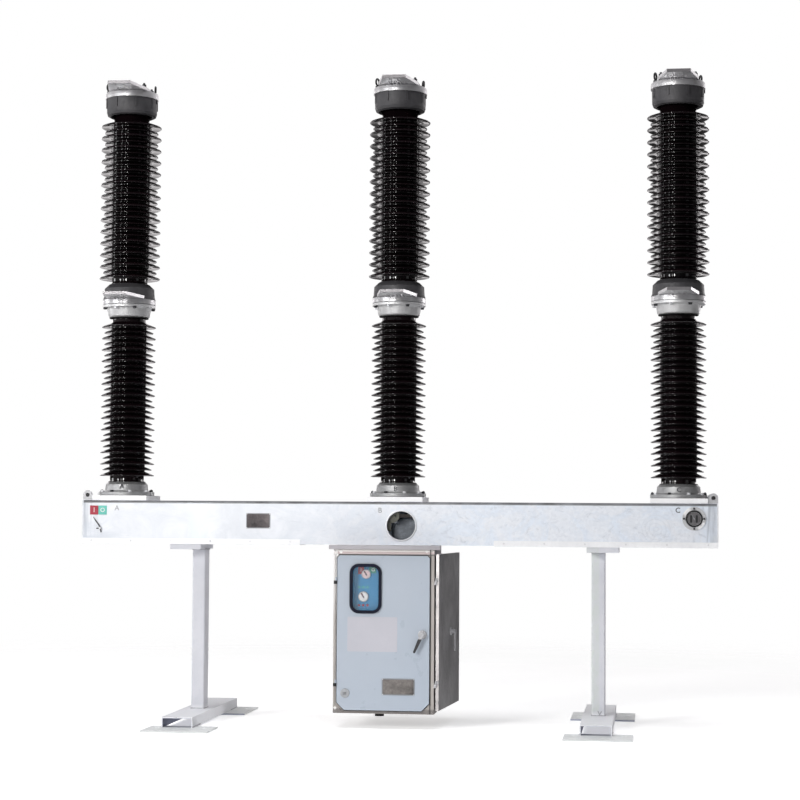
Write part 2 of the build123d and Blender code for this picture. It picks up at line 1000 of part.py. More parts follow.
def side_hinge(z):
    low, high = hinge_barrels(side_axis_x, side_axis_y, z)
    half = hinge_length / 2
    low_top = z + half - seat_clearance / 2
    high_base = z + half + seat_clearance / 2
    low += block(cabinet_right, side_axis_x, side_axis_y - 2, side_axis_y + 2, z, low_top)
    low += block(cabinet_right, cabinet_right + 2, side_axis_y - 2, side_axis_y + 24, z, low_top)
    web = block(side_axis_x, side_axis_x + hinge_r, side_axis_y, side_front_y, high_base, z + hinge_length)
    web += block(
        side_axis_x, side_axis_x + 14, side_front_y - 3, side_front_y, high_base, z + hinge_length
    )
    web -= drum(hinge_pin_r + pin_clearance, z, z + hinge_length + 1, side_axis_x, side_axis_y)
    return low, high + web


front_pairs = [front_hinge(z) for z in (hinge_low_z, hinge_high_z)]
save("front_hinge_pins", *[pair[0] for pair in front_pairs])
save("front_hinge_knuckles", *[pair[1] for pair in front_pairs])

# ---- lever handles: a round base on the door and a lever on a spindle
lever_root_r = 15.0
lever_tip_r = 7.0


def handle_base():
    """The base on a face at y = 0 that looks to -Y, centred on the axis."""
    base = rod_y(handle_base_r, -handle_base_height, 0, 0, 0)
    base -= rod_y(handle_spindle_r + pin_clearance, -handle_base_height - 1, -2, 0, 0)
    return base


def handle_lever():
    """The lever hanging straight down on the same axis."""
    hub_front = -handle_base_height - handle_standoff
    lever = rod_y(lever_root_r, hub_front, -handle_base_height - seat_clearance, 0, 0)
    lever += rod_y(handle_spindle_r, hub_front, -2 - seat_clearance, 0, 0)
    arm = plate_xz(
        [
            (-lever_root_r * 0.8, 0),
            (-lever_tip_r, -handle_length),
            (lever_tip_r, -handle_length),
            (lever_root_r * 0.8, 0),
        ],
        hub_front,
        hub_front + handle_lever_thickness,
    )
    tip = rod_y(lever_tip_r, hub_front, hub_front + handle_lever_thickness, 0, -handle_length)
    return lever + arm + tip


front_handle_place = Pos(handle_x, door_front, handle_z)
save("front_handle_base", front_handle_place * handle_base())
save("front_handle", front_handle_place * Rot(0, handle_turn, 0) * handle_lever())

# ---- side door: a folded pan, hinged at its front edge and standing ajar
side_swing = (
    Pos(side_axis_x, side_axis_y, 0) * Rot(0, 0, -side_door_ajar) * Pos(-side_axis_x, -side_axis_y, 0)
)
side_door = block(side_inner_x, side_outer_x, side_front_y, side_back_y, side_door_bottom, side_door_top)
side_door -= block(
    side_inner_x - 1,
    side_outer_x - door_sheet,
    side_front_y + door_sheet,
    side_back_y - door_sheet,
    side_door_bottom + door_sheet,
    side_door_top - door_sheet,
)
save("side_door", side_swing * side_door)
side_pairs = [side_hinge(z) for z in (hinge_low_z, hinge_high_z)]
save("side_hinge_pins", *[pair[0] for pair in side_pairs])
save("side_hinge_knuckles", *[side_swing * pair[1] for pair in side_pairs])
side_handle_place = side_swing * Pos(side_outer_x, side_back_y - side_handle_inset, handle_z) * Rot(0, 0, 90)
save("side_handle_base", side_handle_place * handle_base())
save("side_handle", side_handle_place * handle_lever())

# ---- control panel behind the window, on two stays from the left wall
panel_front = frame_back + panel_setback
panel_back = panel_front + panel_thickness
panel_x0 = window_centre_x - panel_width / 2
panel_x1 = window_centre_x + panel_width / 2
panel_z0 = window_centre_z - panel_height / 2
panel_z1 = window_centre_z + panel_height / 2
save("control_panel", block(panel_x0, panel_x1, panel_front, panel_back, panel_z0, panel_z1))
save(
    "panel_stays",
    *[
        block(
            cabinet_left + cabinet_wall,
            panel_x1,
            panel_back,
            panel_back + 3,
            z - panel_stay / 2,
            z + panel_stay / 2,
        )
        for z in (panel_z0 + 40, panel_z1 - 40)
    ],
)
dial_upper_z = window_centre_z + 84
dial_lower_z = window_centre_z - 49
save(
    "panel_dials",
    rod_y(dial_small_r, panel_front - dial_height, panel_front, window_centre_x - 2, dial_upper_z),
    rod_y(dial_large_r, panel_front - dial_height, panel_front, window_centre_x - 18, dial_lower_z),
)

# ---- cable gland under the floor
save("cable_gland", drum(gland_r, cabinet_bottom - gland_drop, cabinet_bottom, gland_x, gland_y))
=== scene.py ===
import json
import math
import random

import bmesh
import bpy
from mathutils import Matrix, Vector


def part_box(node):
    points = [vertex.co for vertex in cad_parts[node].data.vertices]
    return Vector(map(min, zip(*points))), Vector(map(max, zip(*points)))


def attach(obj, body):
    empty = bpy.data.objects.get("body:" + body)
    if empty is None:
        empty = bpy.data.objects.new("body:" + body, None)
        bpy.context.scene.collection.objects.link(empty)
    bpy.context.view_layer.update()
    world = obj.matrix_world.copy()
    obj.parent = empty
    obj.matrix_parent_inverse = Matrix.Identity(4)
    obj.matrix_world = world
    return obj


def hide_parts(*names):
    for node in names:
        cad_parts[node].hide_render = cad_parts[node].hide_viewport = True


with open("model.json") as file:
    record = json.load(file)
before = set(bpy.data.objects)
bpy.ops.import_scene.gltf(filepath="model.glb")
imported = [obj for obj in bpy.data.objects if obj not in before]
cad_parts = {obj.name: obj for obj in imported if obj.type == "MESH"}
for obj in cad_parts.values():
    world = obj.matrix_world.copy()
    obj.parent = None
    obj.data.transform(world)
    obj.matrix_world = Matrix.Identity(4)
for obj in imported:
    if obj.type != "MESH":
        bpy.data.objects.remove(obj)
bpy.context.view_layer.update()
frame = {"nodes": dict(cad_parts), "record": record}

rng = random.Random(7)
nodes = frame["nodes"]
corner = {name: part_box(name) for name in nodes}


def low(name):
    return corner[name][0]


def high(name):
    return corner[name][1]


def middle(name):
    a, b = corner[name]
    return (a.x + b.x) / 2, (a.y + b.y) / 2, (a.z + b.z) / 2


# -------------------------------- node tools
def fresh(block):
    """The emptied node tree of a material or a world."""
    block.use_nodes = True
    block.node_tree.nodes.clear()
    return block.node_tree


def feed(tree, node, inputs):
    """Gives each input, by its name or number, a constant or another node's output."""
    for key, value in inputs.items():
        if isinstance(value, bpy.types.NodeSocket):
            tree.links.new(value, node.inputs[key])
        else:
            node.inputs[key].default_value = value


def add(tree, kind, inputs, **settings):
    """A new node, with its inputs fed and its other settings set."""
    node = tree.nodes.new("ShaderNode" + kind)
    for key, value in settings.items():
        setattr(node, key, value)
    feed(tree, node, inputs)
    return node


def mix(tree, share, a, b, kind="MIX"):
    """Two colours, each a tuple or an output, mixed by a share."""
    a, b = [(*value, 1.0) if isinstance(value, tuple) else value for value in (a, b)]
    return add(tree, "Mix", {0: share, 6: a, 7: b}, data_type="RGBA", blend_type=kind).outputs[2]


def dim(colour, share):
    return tuple(c * share for c in colour)


class Finish:
    """A material built node by node. Its textures use object coordinates, in metres."""

    def __init__(self, name, metallic, specular=0.5, coat=0.0, coat_rough=0.1, alpha=1.0):
        self.mat = bpy.data.materials.new(name)
        self.tree = fresh(self.mat)
        inputs = {"Metallic": metallic, "Specular IOR Level": specular, "IOR": 1.5, "Alpha": alpha}
        inputs.update({"Coat Weight": coat, "Coat Roughness": coat_rough})
        self.bsdf = self.add("BsdfPrincipled", inputs)
        self.add("OutputMaterial", {"Surface": self.bsdf.outputs["BSDF"]})
        self.coord = self.add("TexCoord", {}).outputs["Object"]

    def add(self, kind, inputs, **settings):
        return add(self.tree, kind, inputs, **settings)

    def noise(self, scale, detail, rough=0.55, stretch=(1, 1, 1), bend=0.0, turn=(0, 0, 0)):
        place = self.add("Mapping", {"Vector": self.coord, "Scale": stretch, "Rotation": turn})
        inputs = {"Scale": scale, "Detail": detail, "Roughness": rough, "Distortion": bend}
        return self.add("TexNoise", {"Vector": place.outputs[0], **inputs}).outputs["Fac"]

    def spangle(self, scale):
        """Flat zinc crystals, each in its own grey."""
        cells = self.add("TexVoronoi", {"Vector": self.coord, "Scale": scale})
        return self.add("RGBToBW", {0: cells.outputs["Color"]}).outputs[0]

    def pores(self, scale):
        """The distance to the nearest border between cells."""
        inputs = {"Vector": self.coord, "Scale": scale}
        return self.add("TexVoronoi", inputs, feature="DISTANCE_TO_EDGE").outputs["Distance"]

    def rings(self, centre, scale, bend):
        """Rings in the XZ plane about a centre."""
        move = self.add("Mapping", {"Vector": self.coord, "Location": dim(centre, -1)})
        inputs = {"Vector": move.outputs[0], "Scale": scale, "Distortion": bend, "Detail": 2.0}
        return self.add("TexWave", inputs, wave_type="RINGS", rings_direction="Y").outputs["Fac"]

    def axis(self, index):
        return self.add("SeparateXYZ", {"Vector": self.coord}).outputs[index]

    def span(self, value, a, b, c=0.0, d=1.0):
        """The value moved from the range a to b into the range c to d, and held inside it."""
        inputs = {"Value": value, "From Min": a, "From Max": b, "To Min": c, "To Max": d}
        return self.add("MapRange", inputs).outputs["Result"]

    def maths(self, kind, a, b=0.0):
        return self.add("Math", {0: a, 1: b}, operation=kind).outputs[0]

    def times(self, a, b):
        return self.maths("MULTIPLY", a, b)

    def off(self, value, at):
        """How far the value is from a place, either way."""
        return self.maths("ABSOLUTE", self.maths("SUBTRACT", value, at))

    def ground(self, share, a, b):
        """Starts the colour: a mix of two."""
        self.tone = mix(self.tree, share, a, b)

    def lay(self, share, colour):
        """Lays a colour over what is there."""
        self.ground(share, self.tone, colour)

    def done(self, rough, *bumps):
        """Sets colour and roughness, adds bumps as (height, metres, strength), and gives the material."""
        last = {}
        for height, distance, strength in bumps:
            bump = self.add("Bump", {"Height": height, "Distance": distance, "Strength": strength, **last})
            last = {"Normal": bump.outputs["Normal"]}
        feed(self.tree, self.bsdf, {"Base Color": self.tone, "Roughness": rough, **last})
        return self.mat


# -------------------------------- kinds of finish
def painted(name, base, shade, rough=0.4, metallic=0.0, patch=14.0, peel=350.0, depth=0.0002, coat=0.0, specular=0.5):
    """Paint or plastic: two tones in soft patches, and fine orange peel."""
    f = Finish(name, metallic, specular, coat)
    speck = f.noise(peel, 2, 0.5)
    f.ground(f.span(f.noise(patch, 5, 0.6), 0.35, 0.65), base, shade)
    f.lay(f.span(speck, 0.62, 0.75, 0.0, 0.25), dim(shade, 0.72))
    rough = f.span(f.noise(patch * 6, 5), 0.3, 0.7, max(rough - 0.08, 0.03), rough + 0.1)
    return f.done(rough, (speck, depth, 0.35))


def cast(name, base, shade, rough, metallic, grain=260.0, depth=0.0012):
    """A sand-cast surface: grainy, a little blotchy."""
    f = Finish(name, metallic)
    sand = f.noise(grain, 3, 0.7)
    pits = f.span(f.pores(grain * 0.45), 0.0, 0.14)
    f.ground(f.span(f.noise(9.0, 6, 0.65), 0.3, 0.7), shade, base)
    f.lay(f.span(sand, 0.3, 0.7, 0.0, 0.35), dim(shade, 0.7))
    rough = f.span(sand, 0.2, 0.8, rough - 0.1, rough + 0.15)
    return f.done(rough, (sand, depth, 0.5), (pits, depth * 0.5, 0.25))


def brushed(name, base, shade, rough, metallic, stretch=(60, 60, 1.2), depth=0.0002, smear=3.0):
    """Rolled or brushed metal, with fine lines along one way and smeared patches."""
    f = Finish(name, metallic)
    lines = f.noise(14.0, 6, 0.7, stretch)
    cloud = f.noise(smear, 5, 0.6, (1, 1, 0.5), 0.6)
    f.ground(f.span(cloud, 0.3, 0.7), shade, base)
    f.lay(f.span(lines, 0.3, 0.75, 0.0, 0.4), dim(shade, 0.78))
    return f.done(f.span(lines, 0.2, 0.8, rough - 0.08, rough + 0.14), (lines, depth, 0.4))


def galvanised(name, light, dull, metallic=0.35, depth=0.0002):
    """Hot-dip zinc: spangle, pale runs and scuffs."""
    f = Finish(name, metallic)
    spangle = f.spangle(70.0)
    fine = f.noise(420.0, 2, 0.6)
    cloud = f.noise(1.7, 6, 0.62, (0.8, 1, 1.6), 1.4)
    runs = f.noise(5.0, 5, 0.6, (1.5, 1.5, 9.0), 0.8)
    scuff = f.noise(26.0, 3, 0.75, (0.25, 1, 3.2), 2.2, (0, 0.5, 0))
    f.ground(f.span(cloud, 0.34, 0.66), dull, light)
    f.lay(f.span(spangle, 0.1, 0.9, 0.0, 0.16), dim(dull, 0.82))
    f.lay(f.span(runs, 0.62, 0.74, 0.0, 0.3), dim(dull, 0.86))
    f.lay(f.span(scuff, 0.66, 0.72, 0.0, 0.35), dim(dull, 0.66))
    rough = f.span(cloud, 0.3, 0.7, 0.34, 0.52)
    return f.done(rough, (spangle, depth * 2, 0.15), (fine, depth, 0.3))


def beam_zinc():
    """The beam's zinc: pale to the left, mottled to the right, worn at its ends, with painted shade over its left half
    and along its folds.
    """
    light, dull, shade = (0.865, 0.885, 0.93), (0.785, 0.85, 0.945), (0.57, 0.61, 0.68)
    top, edge = high("beam_channel").z, low("beam_channel").z
    arc_x, arc_z = 1.565, 1.187
    fold_drop, fold_reach = 0.016, 0.168
    f = Finish("galvanised_beam", 0.28)
    x, y, z = f.axis(0), f.axis(1), f.axis(2)
    spangle = f.spangle(62.0)
    blotch = f.noise(4.2, 6, 0.66, (1, 1, 1.2), 1.6)
    cloud = f.noise(1.3, 5, 0.6, (0.8, 1, 1.4), 1.2)
    drips = f.noise(7.5, 4, 0.55, (2.6, 2.6, 0.3), 0.5)
    scuff = f.noise(24.0, 3, 0.75, (0.25, 1, 3.2), 2.2, (0, 0.5, 0))
    stain = f.noise(11.0, 6, 0.72, (1, 1, 1.3), 2.0)
    # mottling, stronger to the right
    worn = f.span(x, -0.9, 0.5, 0.12, 0.85)
    f.ground(f.times(f.span(blotch, 0.44, 0.58), worn), light, dull)
    f.lay(f.times(f.span(cloud, 0.4, 0.7, 0.0, 0.7), worn), dull)
    f.lay(f.times(f.span(spangle, 0.1, 0.9, 0.0, 0.3), worn), shade)
    f.lay(f.times(f.span(stain, 0.55, 0.68, 0.0, 0.6), worn), dim(shade, 0.9))
    f.lay(f.times(f.span(stain, 0.42, 0.30, 0.0, 0.6), worn), (0.92, 0.93, 0.95))
    # faint round marks near the gauge
    arc = f.span(f.rings((arc_x, 0, arc_z), 13.0, 3.5), 0.55, 0.95, 0.0, 0.2)
    near_arc = f.span(f.maths("ADD", f.off(x, arc_x), f.off(z, arc_z)), 0.16, 0.09)
    f.lay(f.times(arc, near_arc), shade)
    # a greyer left half: painted shade in blotches, to temper the stronger light on the left
    f.lay(f.times(f.span(x, 0.3, -0.7), f.span(blotch, 0.36, 0.62, 0.14, 0.32)), (0.44, 0.46, 0.49))
    # drips at the ends
    ends = f.maths("MAXIMUM", f.span(x, 1.69, 1.82), f.span(x, -1.80, -1.91))
    f.lay(f.times(f.span(drips, 0.45, 0.62, 0.0, 0.75), ends), dim(shade, 0.75))
    # a wash over the left leg, and the left end's lower corner
    wash = f.times(f.span(x, -1.275, -1.215), f.span(x, -1.13, -1.20))
    wash = f.times(wash, f.span(z, top - 0.03, top - 0.10, 0.35, 1.0))
    f.lay(f.times(wash, f.span(blotch, 0.3, 0.6, 0.45, 0.9)), dull)
    foot = f.times(f.span(x, -1.66, -1.84), f.span(z, edge + 0.15, edge + 0.03))
    f.lay(f.times(f.span(blotch, 0.4, 0.6, 0.0, 0.8), foot), shade)
    f.lay(f.span(scuff, 0.66, 0.72, 0.0, 0.28), dim(shade, 0.8))
    # painted shade: the dark line along the upper folds, where the bends turn from the light
    outside = f.span(f.maths("ABSOLUTE", y), fold_reach - 0.0015, fold_reach + 0.0015)
    fold_shade = f.times(f.span(z, top - fold_drop - 0.0025, top - fold_drop + 0.0025), outside)
    fold_shade = f.times(fold_shade, f.span(f.noise(9.0, 3, 0.5, (1, 0.1, 0.1)), 0.3, 0.7, 0.8, 1.0))
    f.lay(fold_shade, (0.155, 0.158, 0.165))
    rough = f.span(cloud, 0.3, 0.7, 0.36, 0.52)
    return f.done(rough, (spangle, 0.0004, 0.15), (f.noise(420.0, 2, 0.6), 0.0002, 0.3))


def leg_paint():
    """Pale paint on legs and channels: painted light over the channels and just above them, painted shade inside them,
    greenish on the right leg.
    """
    channel_low, channel_high = corner["foot_channel_left"]
    half, top = (channel_high.x - channel_low.x) / 2, channel_high.z
    centres = [middle("foot_channel_" + side)[0] for side in ("left", "right")]
    f = Finish("leg_paint", 0.0)
    x, z = f.axis(0), f.axis(2)
    cloud = f.noise(4.0, 5, 0.6)
    mottle = f.noise(16.0, 5, 0.7, (1, 1, 0.6), 1.5)
    f.ground(f.span(cloud, 0.35, 0.65), (0.665, 0.67, 0.715), (0.60, 0.61, 0.66))
    f.lay(f.span(mottle, 0.52, 0.68, 0.0, 0.25), (0.44, 0.48, 0.55))
    green = f.times(f.span(x, centres[1] + 0.012, centres[1] - 0.002), f.span(x, 0.5, 0.6))
    f.lay(f.times(green, f.span(mottle, 0.35, 0.6, 0.3, 0.9)), (0.60, 0.635, 0.62))
    # painted light over the channels and the legs just above them
    f.lay(f.span(z, top + 0.03, top + 0.005, 0.0, 0.8), (0.86, 0.87, 0.90))
    # painted shade inside the channels
    outside = 1.0
    for centre in centres:
        outside = f.times(outside, f.span(f.off(x, centre), half - 0.0085, half - 0.0055))
    inside = f.times(f.maths("SUBTRACT", 1.0, outside), f.span(z, top - 0.0055, top - 0.0085))
    f.lay(f.times(inside, 0.85), (0.13, 0.145, 0.26))
    return f.done(f.span(cloud, 0.3, 0.7, 0.42, 0.6), (f.noise(220.0, 2, 0.5), 0.0004, 0.35))


def foot_plate_paint():
    """Paler paint on the foot plates, with painted shade on their front edges."""
    f = Finish("foot_plate_paint", 0.0)
    cloud = f.noise(5.0, 5, 0.6)
    mottle = f.noise(30.0, 5, 0.7)
    f.ground(f.span(cloud, 0.35, 0.65), (0.76, 0.78, 0.78), (0.84, 0.86, 0.86))
    f.lay(f.span(mottle, 0.5, 0.7, 0.0, 0.3), (0.62, 0.65, 0.66))
    # painted shade on the edges that face forward
    front, rear = (0.66, 0.68, 0.68), (0.34, 0.36, 0.44)  # the edges that face forward, each by its y
    for at, edge_shade in ((-0.790, front), (0.280, rear), (0.340, rear)):
        f.lay(f.span(f.off(f.axis(1), at), 0.0016, 0.0008), edge_shade)
    return f.done(f.span(cloud, 0.3, 0.7, 0.42, 0.6), (mottle, 0.0004, 0.35))


def terminal_metal():
    """Milled aluminium, with painted shade on the straight front edges of the terminals."""
    between = (3.0, 3.1)  # a height between the lower terminals and the caps
    f = Finish("terminal_aluminium", 0.7)
    lines = f.noise(14.0, 6, 0.7, (1.5, 60, 60))
    f.ground(f.span(f.noise(7.0, 5, 0.6, (1, 1, 0.5), 0.6), 0.3, 0.7), (0.62, 0.62, 0.64), (0.84, 0.83, 0.84))
    f.lay(f.span(lines, 0.3, 0.75, 0.0, 0.4), (0.48, 0.48, 0.50))
    # painted shade on the straight front edges
    for node, side in (("lower_terminals", between[::-1]), ("head_caps", between)):
        edge = f.span(f.axis(1), low(node).y + 0.0025, low(node).y + 0.0008, 0.0, 0.9)
        f.lay(f.times(edge, f.span(f.axis(2), *side)), (0.22, 0.21, 0.22))
    return f.done(f.span(lines, 0.2, 0.8, 0.26, 0.48), (lines, 0.0003, 0.4))


def glaze(name, base, shade):
    """Glossy porcelain glaze over a body with slight waves from the wheel."""
    f = Finish(name, 0.0, 0.5, 0.25, 0.05)
    cloud = f.noise(7.0, 5, 0.6)
    f.ground(f.span(cloud, 0.3, 0.7), shade, base)
    f.lay(f.span(f.noise(900.0, 2, 0.5), 0.66, 0.8, 0.0, 0.3), dim(base, 2.4))
    waves = f.noise(3.0, 3, 0.5, (2, 2, 60))
    return f.done(f.span(cloud, 0.3, 0.7, 0.06, 0.13), (waves, 0.0006, 0.25), (f.noise(45.0, 3), 0.0005, 0.12))


def front_frame_sheet():
    """Stainless sheet round the front door: painted light on top and down the left, painted shade in the gap and
    beside the door.
    """
    f = Finish("front_frame_sheet", 0.3)
    lines = f.noise(14.0, 6, 0.7, (60, 60, 1.2))
    x, z = f.axis(0), f.axis(2)
    cloud = f.noise(3.0, 5, 0.6, (1, 1, 0.5), 0.6)
    f.ground(f.span(cloud, 0.3, 0.7), (0.40, 0.37, 0.345), (0.58, 0.55, 0.52))
    f.lay(f.span(lines, 0.3, 0.75, 0.0, 0.35), (0.36, 0.33, 0.31))
    # painted shade on the foot, and two paler bands along the top: the lower, pinkish one painted shade in a recess,
    # the upper one painted light
    f.lay(f.span(z, 0.122, 0.112, 0.0, 0.8), (0.20, 0.185, 0.18))
    f.lay(f.span(z, 1.0275, 1.0315), (0.62, 0.52, 0.52))
    f.lay(f.span(z, 1.0405, 1.0435), (0.80, 0.765, 0.74))
    # painted shade in the gap over the door, and on the strip beside it
    gap = f.times(f.span(z, 1.0190, 1.0210), f.span(z, 1.0290, 1.0270))
    f.lay(f.times(gap, 0.7), (0.12, 0.11, 0.115))
    beside = f.times(f.span(x, 0.2365, 0.2380), f.span(x, 0.2475, 0.2455))
    f.lay(f.times(beside, 0.85), (0.07, 0.065, 0.065))
    # a painted highlight down the left edge, and painted highlights at the corners
    left = f.times(f.span(x, -0.3125, -0.3150), f.span(z, 0.62, 0.92, 0.05, 0.75))
    f.lay(left, (0.86, 0.85, 0.84))
    for glint_x, glint_z in ((-0.2945, 1.0400), (0.2200, 1.0470), (-0.3180, 1.0240), (-0.3235, 0.1180)):
        away = f.maths("ADD", f.off(x, glint_x), f.off(z, glint_z))
        f.lay(f.span(away, 0.013, 0.008, 0.0, 0.9), (0.97, 0.96, 0.94))
    return f.done(f.span(lines, 0.2, 0.8, 0.26, 0.46), (lines, 0.0002, 0.4))


def side_door_sheet():
    """Mottled stainless sheet with a painted highlight on its front edge."""
    front = low("side_door").y
    f = Finish("side_door_sheet", 0.7)
    lines = f.noise(14.0, 6, 0.7, (60, 30, 1.0))
    cloud = f.noise(5.0, 6, 0.62, (1, 1, 0.8), 0.4)
    stain = f.noise(16.0, 5, 0.7, (1, 1.4, 1), 1.8)
    f.ground(f.span(cloud, 0.3, 0.7), (0.27, 0.265, 0.275), (0.57, 0.565, 0.575))
    f.lay(f.span(stain, 0.56, 0.68, 0.0, 0.6), (0.10, 0.10, 0.105))
    f.lay(f.span(lines, 0.3, 0.75, 0.0, 0.35), (0.13, 0.13, 0.135))
    # a painted highlight along the front edge, in streaks
    streak = f.span(f.noise(3.0, 4, 0.6, (0.1, 0.1, 3.0), 0.5), 0.35, 0.6, 0.55, 1.0)
    edge = f.span(f.axis(1), front + 0.0055, front + 0.0030)
    f.lay(f.times(edge, streak), (0.90, 0.86, 0.85))
    return f.done(f.span(lines, 0.2, 0.8, 0.30, 0.48), (lines, 0.0003, 0.4))


def handle_steel():
    """A bright boss and a dark lever below it."""
    f = Finish("handle_steel", 0.5)
    cloud = f.noise(14.0, 5, 0.6, (8, 8, 8))
    f.ground(f.span(cloud, 0.3, 0.7), (0.90, 0.90, 0.92), (0.70, 0.70, 0.73))
    f.lay(f.span(f.axis(2), 0.533, 0.529), (0.10, 0.10, 0.105))
    return f.done(f.span(cloud, 0.3, 0.7, 0.10, 0.22), (cloud, 0.0001, 0.3))


def gauge_metal():
    """The gauge's ring, with a painted highlight slanting across it."""
    x, _, z = middle("gas_gauge")
    f = Finish("gauge_ring", 0.25)
    lines = f.noise(14.0, 5, 0.6, (30, 30, 30))
    slant = f.maths("ADD", f.maths("SUBTRACT", f.axis(0), x), f.maths("SUBTRACT", f.axis(2), z))
    f.ground(f.span(lines, 0.3, 0.7), (0.50, 0.505, 0.52), (0.68, 0.685, 0.70))
    # painted highlight in a slanted band, upper left and lower right
    f.lay(f.span(f.maths("ABSOLUTE", slant), 0.045, 0.025), (0.97, 0.97, 0.98))
    return f.done(f.span(lines, 0.3, 0.7, 0.24, 0.4), (lines, 0.0003, 0.3))


def clear_glass():
    """Thin clear glass, seen mostly by its gloss."""
    f = Finish("window_glass", 0.0, 0.3, 0.0, 0.05, 0.05)
    f.tone = (0.75, 0.88, 0.95, 1.0)
    return f.done(f.span(f.noise(14.0, 4), 0.3, 0.7, 0.02, 0.07), (f.noise(3.0, 2), 0.001, 0.1))


# -------------------------------- finishes
across_band = (1.2, 60, 60)
m_beam = beam_zinc()
m_zinc = galvanised("galvanised_plate", (0.90, 0.91, 0.94), (0.72, 0.74, 0.78))
# a paler copy of the zinc: painted light on the pads
m_pad_lit = galvanised("galvanised_pad_lit", (0.97, 0.97, 0.98), (0.90, 0.90, 0.92), 0.15)
m_cover = galvanised("galvanised_cover", (0.95, 0.955, 0.97), (0.84, 0.85, 0.88), 0.2)
m_lug = galvanised("galvanised_lug", (0.72, 0.72, 0.74), (0.46, 0.46, 0.48), 0.3, 0.0004)
m_bolt = galvanised("zinc_bolt", (0.86, 0.86, 0.88), (0.66, 0.67, 0.70))
m_bolt_dull = cast("dull_bolt", (0.10, 0.10, 0.11), (0.05, 0.05, 0.055), 0.5, 0.7)
m_eye = cast("dark_steel", (0.060, 0.058, 0.060), (0.030, 0.030, 0.032), 0.5, 0.5)
m_legs = leg_paint()
m_plates = foot_plate_paint()
m_weld = cast("weld_bead", (0.60, 0.60, 0.63), (0.42, 0.42, 0.45), 0.45, 0.5, 300.0, 0.0008)
m_cast = cast("cast_aluminium", (0.86, 0.86, 0.87), (0.64, 0.645, 0.65), 0.36, 0.42)
m_cast_base = cast("cast_base", (0.58, 0.58, 0.59), (0.36, 0.365, 0.37), 0.42, 0.6)
m_terminal = terminal_metal()
m_dark = painted("dark_fitting", (0.080, 0.078, 0.083), (0.052, 0.051, 0.056), 0.52, 0.15, 8.0, 300.0, 0.0006)
m_porcelain = glaze("porcelain_glaze", (0.0075, 0.0035, 0.0045), (0.0035, 0.0022, 0.0030))
m_stainless = brushed("stainless_frame", (0.66, 0.63, 0.60), (0.47, 0.44, 0.42), 0.32, 0.7)
m_front_frame = front_frame_sheet()
m_stainless_wide = brushed("stainless_band", (0.70, 0.67, 0.65), (0.50, 0.47, 0.46), 0.34, 0.7, across_band)
# a greyer copy of the stainless band: painted shade on the flange under the beam
m_flange_shaded = brushed("flange_band_shaded", (0.50, 0.48, 0.51), (0.38, 0.365, 0.39), 0.4, 0.45, across_band)
m_side_door = side_door_sheet()
m_door = painted("door_paint", (0.445, 0.495, 0.565), (0.42, 0.475, 0.55), 0.33, 0.0, 1.6, 420.0, coat=0.15)
m_rim = painted("window_rubber", (0.0045, 0.0075, 0.030), (0.003, 0.005, 0.018), 0.5, 0.0, 20.0, 500.0, specular=0.25)
m_panel = painted("panel_blue", (0.034, 0.25, 0.49), (0.028, 0.21, 0.43), 0.4, 0.0, 6.0, 500.0, 0.0001, specular=0.3)
m_red = painted("indicator_red", (0.42, 0.018, 0.045), (0.30, 0.012, 0.035), 0.35)
m_green = painted("indicator_green", (0.03, 0.30, 0.22), (0.025, 0.23, 0.17), 0.35)
m_mark = painted("mark_green", (0.06, 0.42, 0.28), (0.05, 0.34, 0.22))
m_teal = painted("indicator_teal", (0.16, 0.62, 0.53), (0.12, 0.50, 0.43))
m_white = painted("dial_white", (0.84, 0.83, 0.82), (0.74, 0.73, 0.72), patch=18.0)
m_pink = painted("needle_pale", (0.78, 0.60, 0.60), (0.68, 0.50, 0.50), patch=18.0)
m_needle = painted("needle_brown", (0.20, 0.10, 0.12), (0.15, 0.07, 0.09), patch=18.0)
m_black = painted("black_plastic", (0.022, 0.022, 0.024), (0.012, 0.012, 0.013), 0.45, 0.0, 16.0, 400.0)
m_grey = painted("grey_plastic", (0.42, 0.43, 0.45), (0.33, 0.34, 0.36), 0.45, 0.0, 16.0, 400.0)
m_print = painted("dark_print", (0.10, 0.10, 0.11), (0.06, 0.06, 0.07), 0.5, 0.0, 16.0)
m_chrome = brushed("chrome_handle", (0.92, 0.92, 0.94), (0.72, 0.72, 0.75), 0.18, 0.45, (8, 8, 8), 0.0001, 14.0)
m_label = painted("bare_label", (0.525, 0.52, 0.57), (0.495, 0.495, 0.545), 0.5, 0.0, 5.0, 300.0, 0.0001)
m_plate = cast("bare_plate", (0.21, 0.18, 0.185), (0.035, 0.030, 0.033), 0.42, 0.4, 40.0, 0.0006)
m_plate_warm = cast("bare_plate_warm", (0.36, 0.33, 0.31), (0.05, 0.045, 0.045), 0.42, 0.3, 42.0, 0.0006)
m_handle = handle_steel()
m_plate_grey = brushed("bare_plate_grey", (0.40, 0.41, 0.44), (0.28, 0.29, 0.31), 0.38, 0.6, (1.5, 60, 60), smear=12.0)
m_iron = cast("cast_iron", (0.33, 0.36, 0.40), (0.12, 0.135, 0.155), 0.5, 0.3, 90.0, 0.0020)
m_link = cast("link_steel", (0.055, 0.045, 0.042), (0.030, 0.024, 0.022), 0.5, 0.5)
m_ring = gauge_metal()
m_gauge_face = painted("gauge_face", (0.16, 0.155, 0.16), (0.11, 0.105, 0.11), 0.45, 0.0, 30.0)
m_bracket = cast("olive_bracket", (0.21, 0.21, 0.175), (0.09, 0.09, 0.075), 0.55, 0.3, 200.0)
m_seal = painted("door_seal", (0.03, 0.03, 0.03), (0.018, 0.018, 0.018), 0.8, 0.0, 30.0, 200.0, 0.0006)
m_glass = clear_glass()

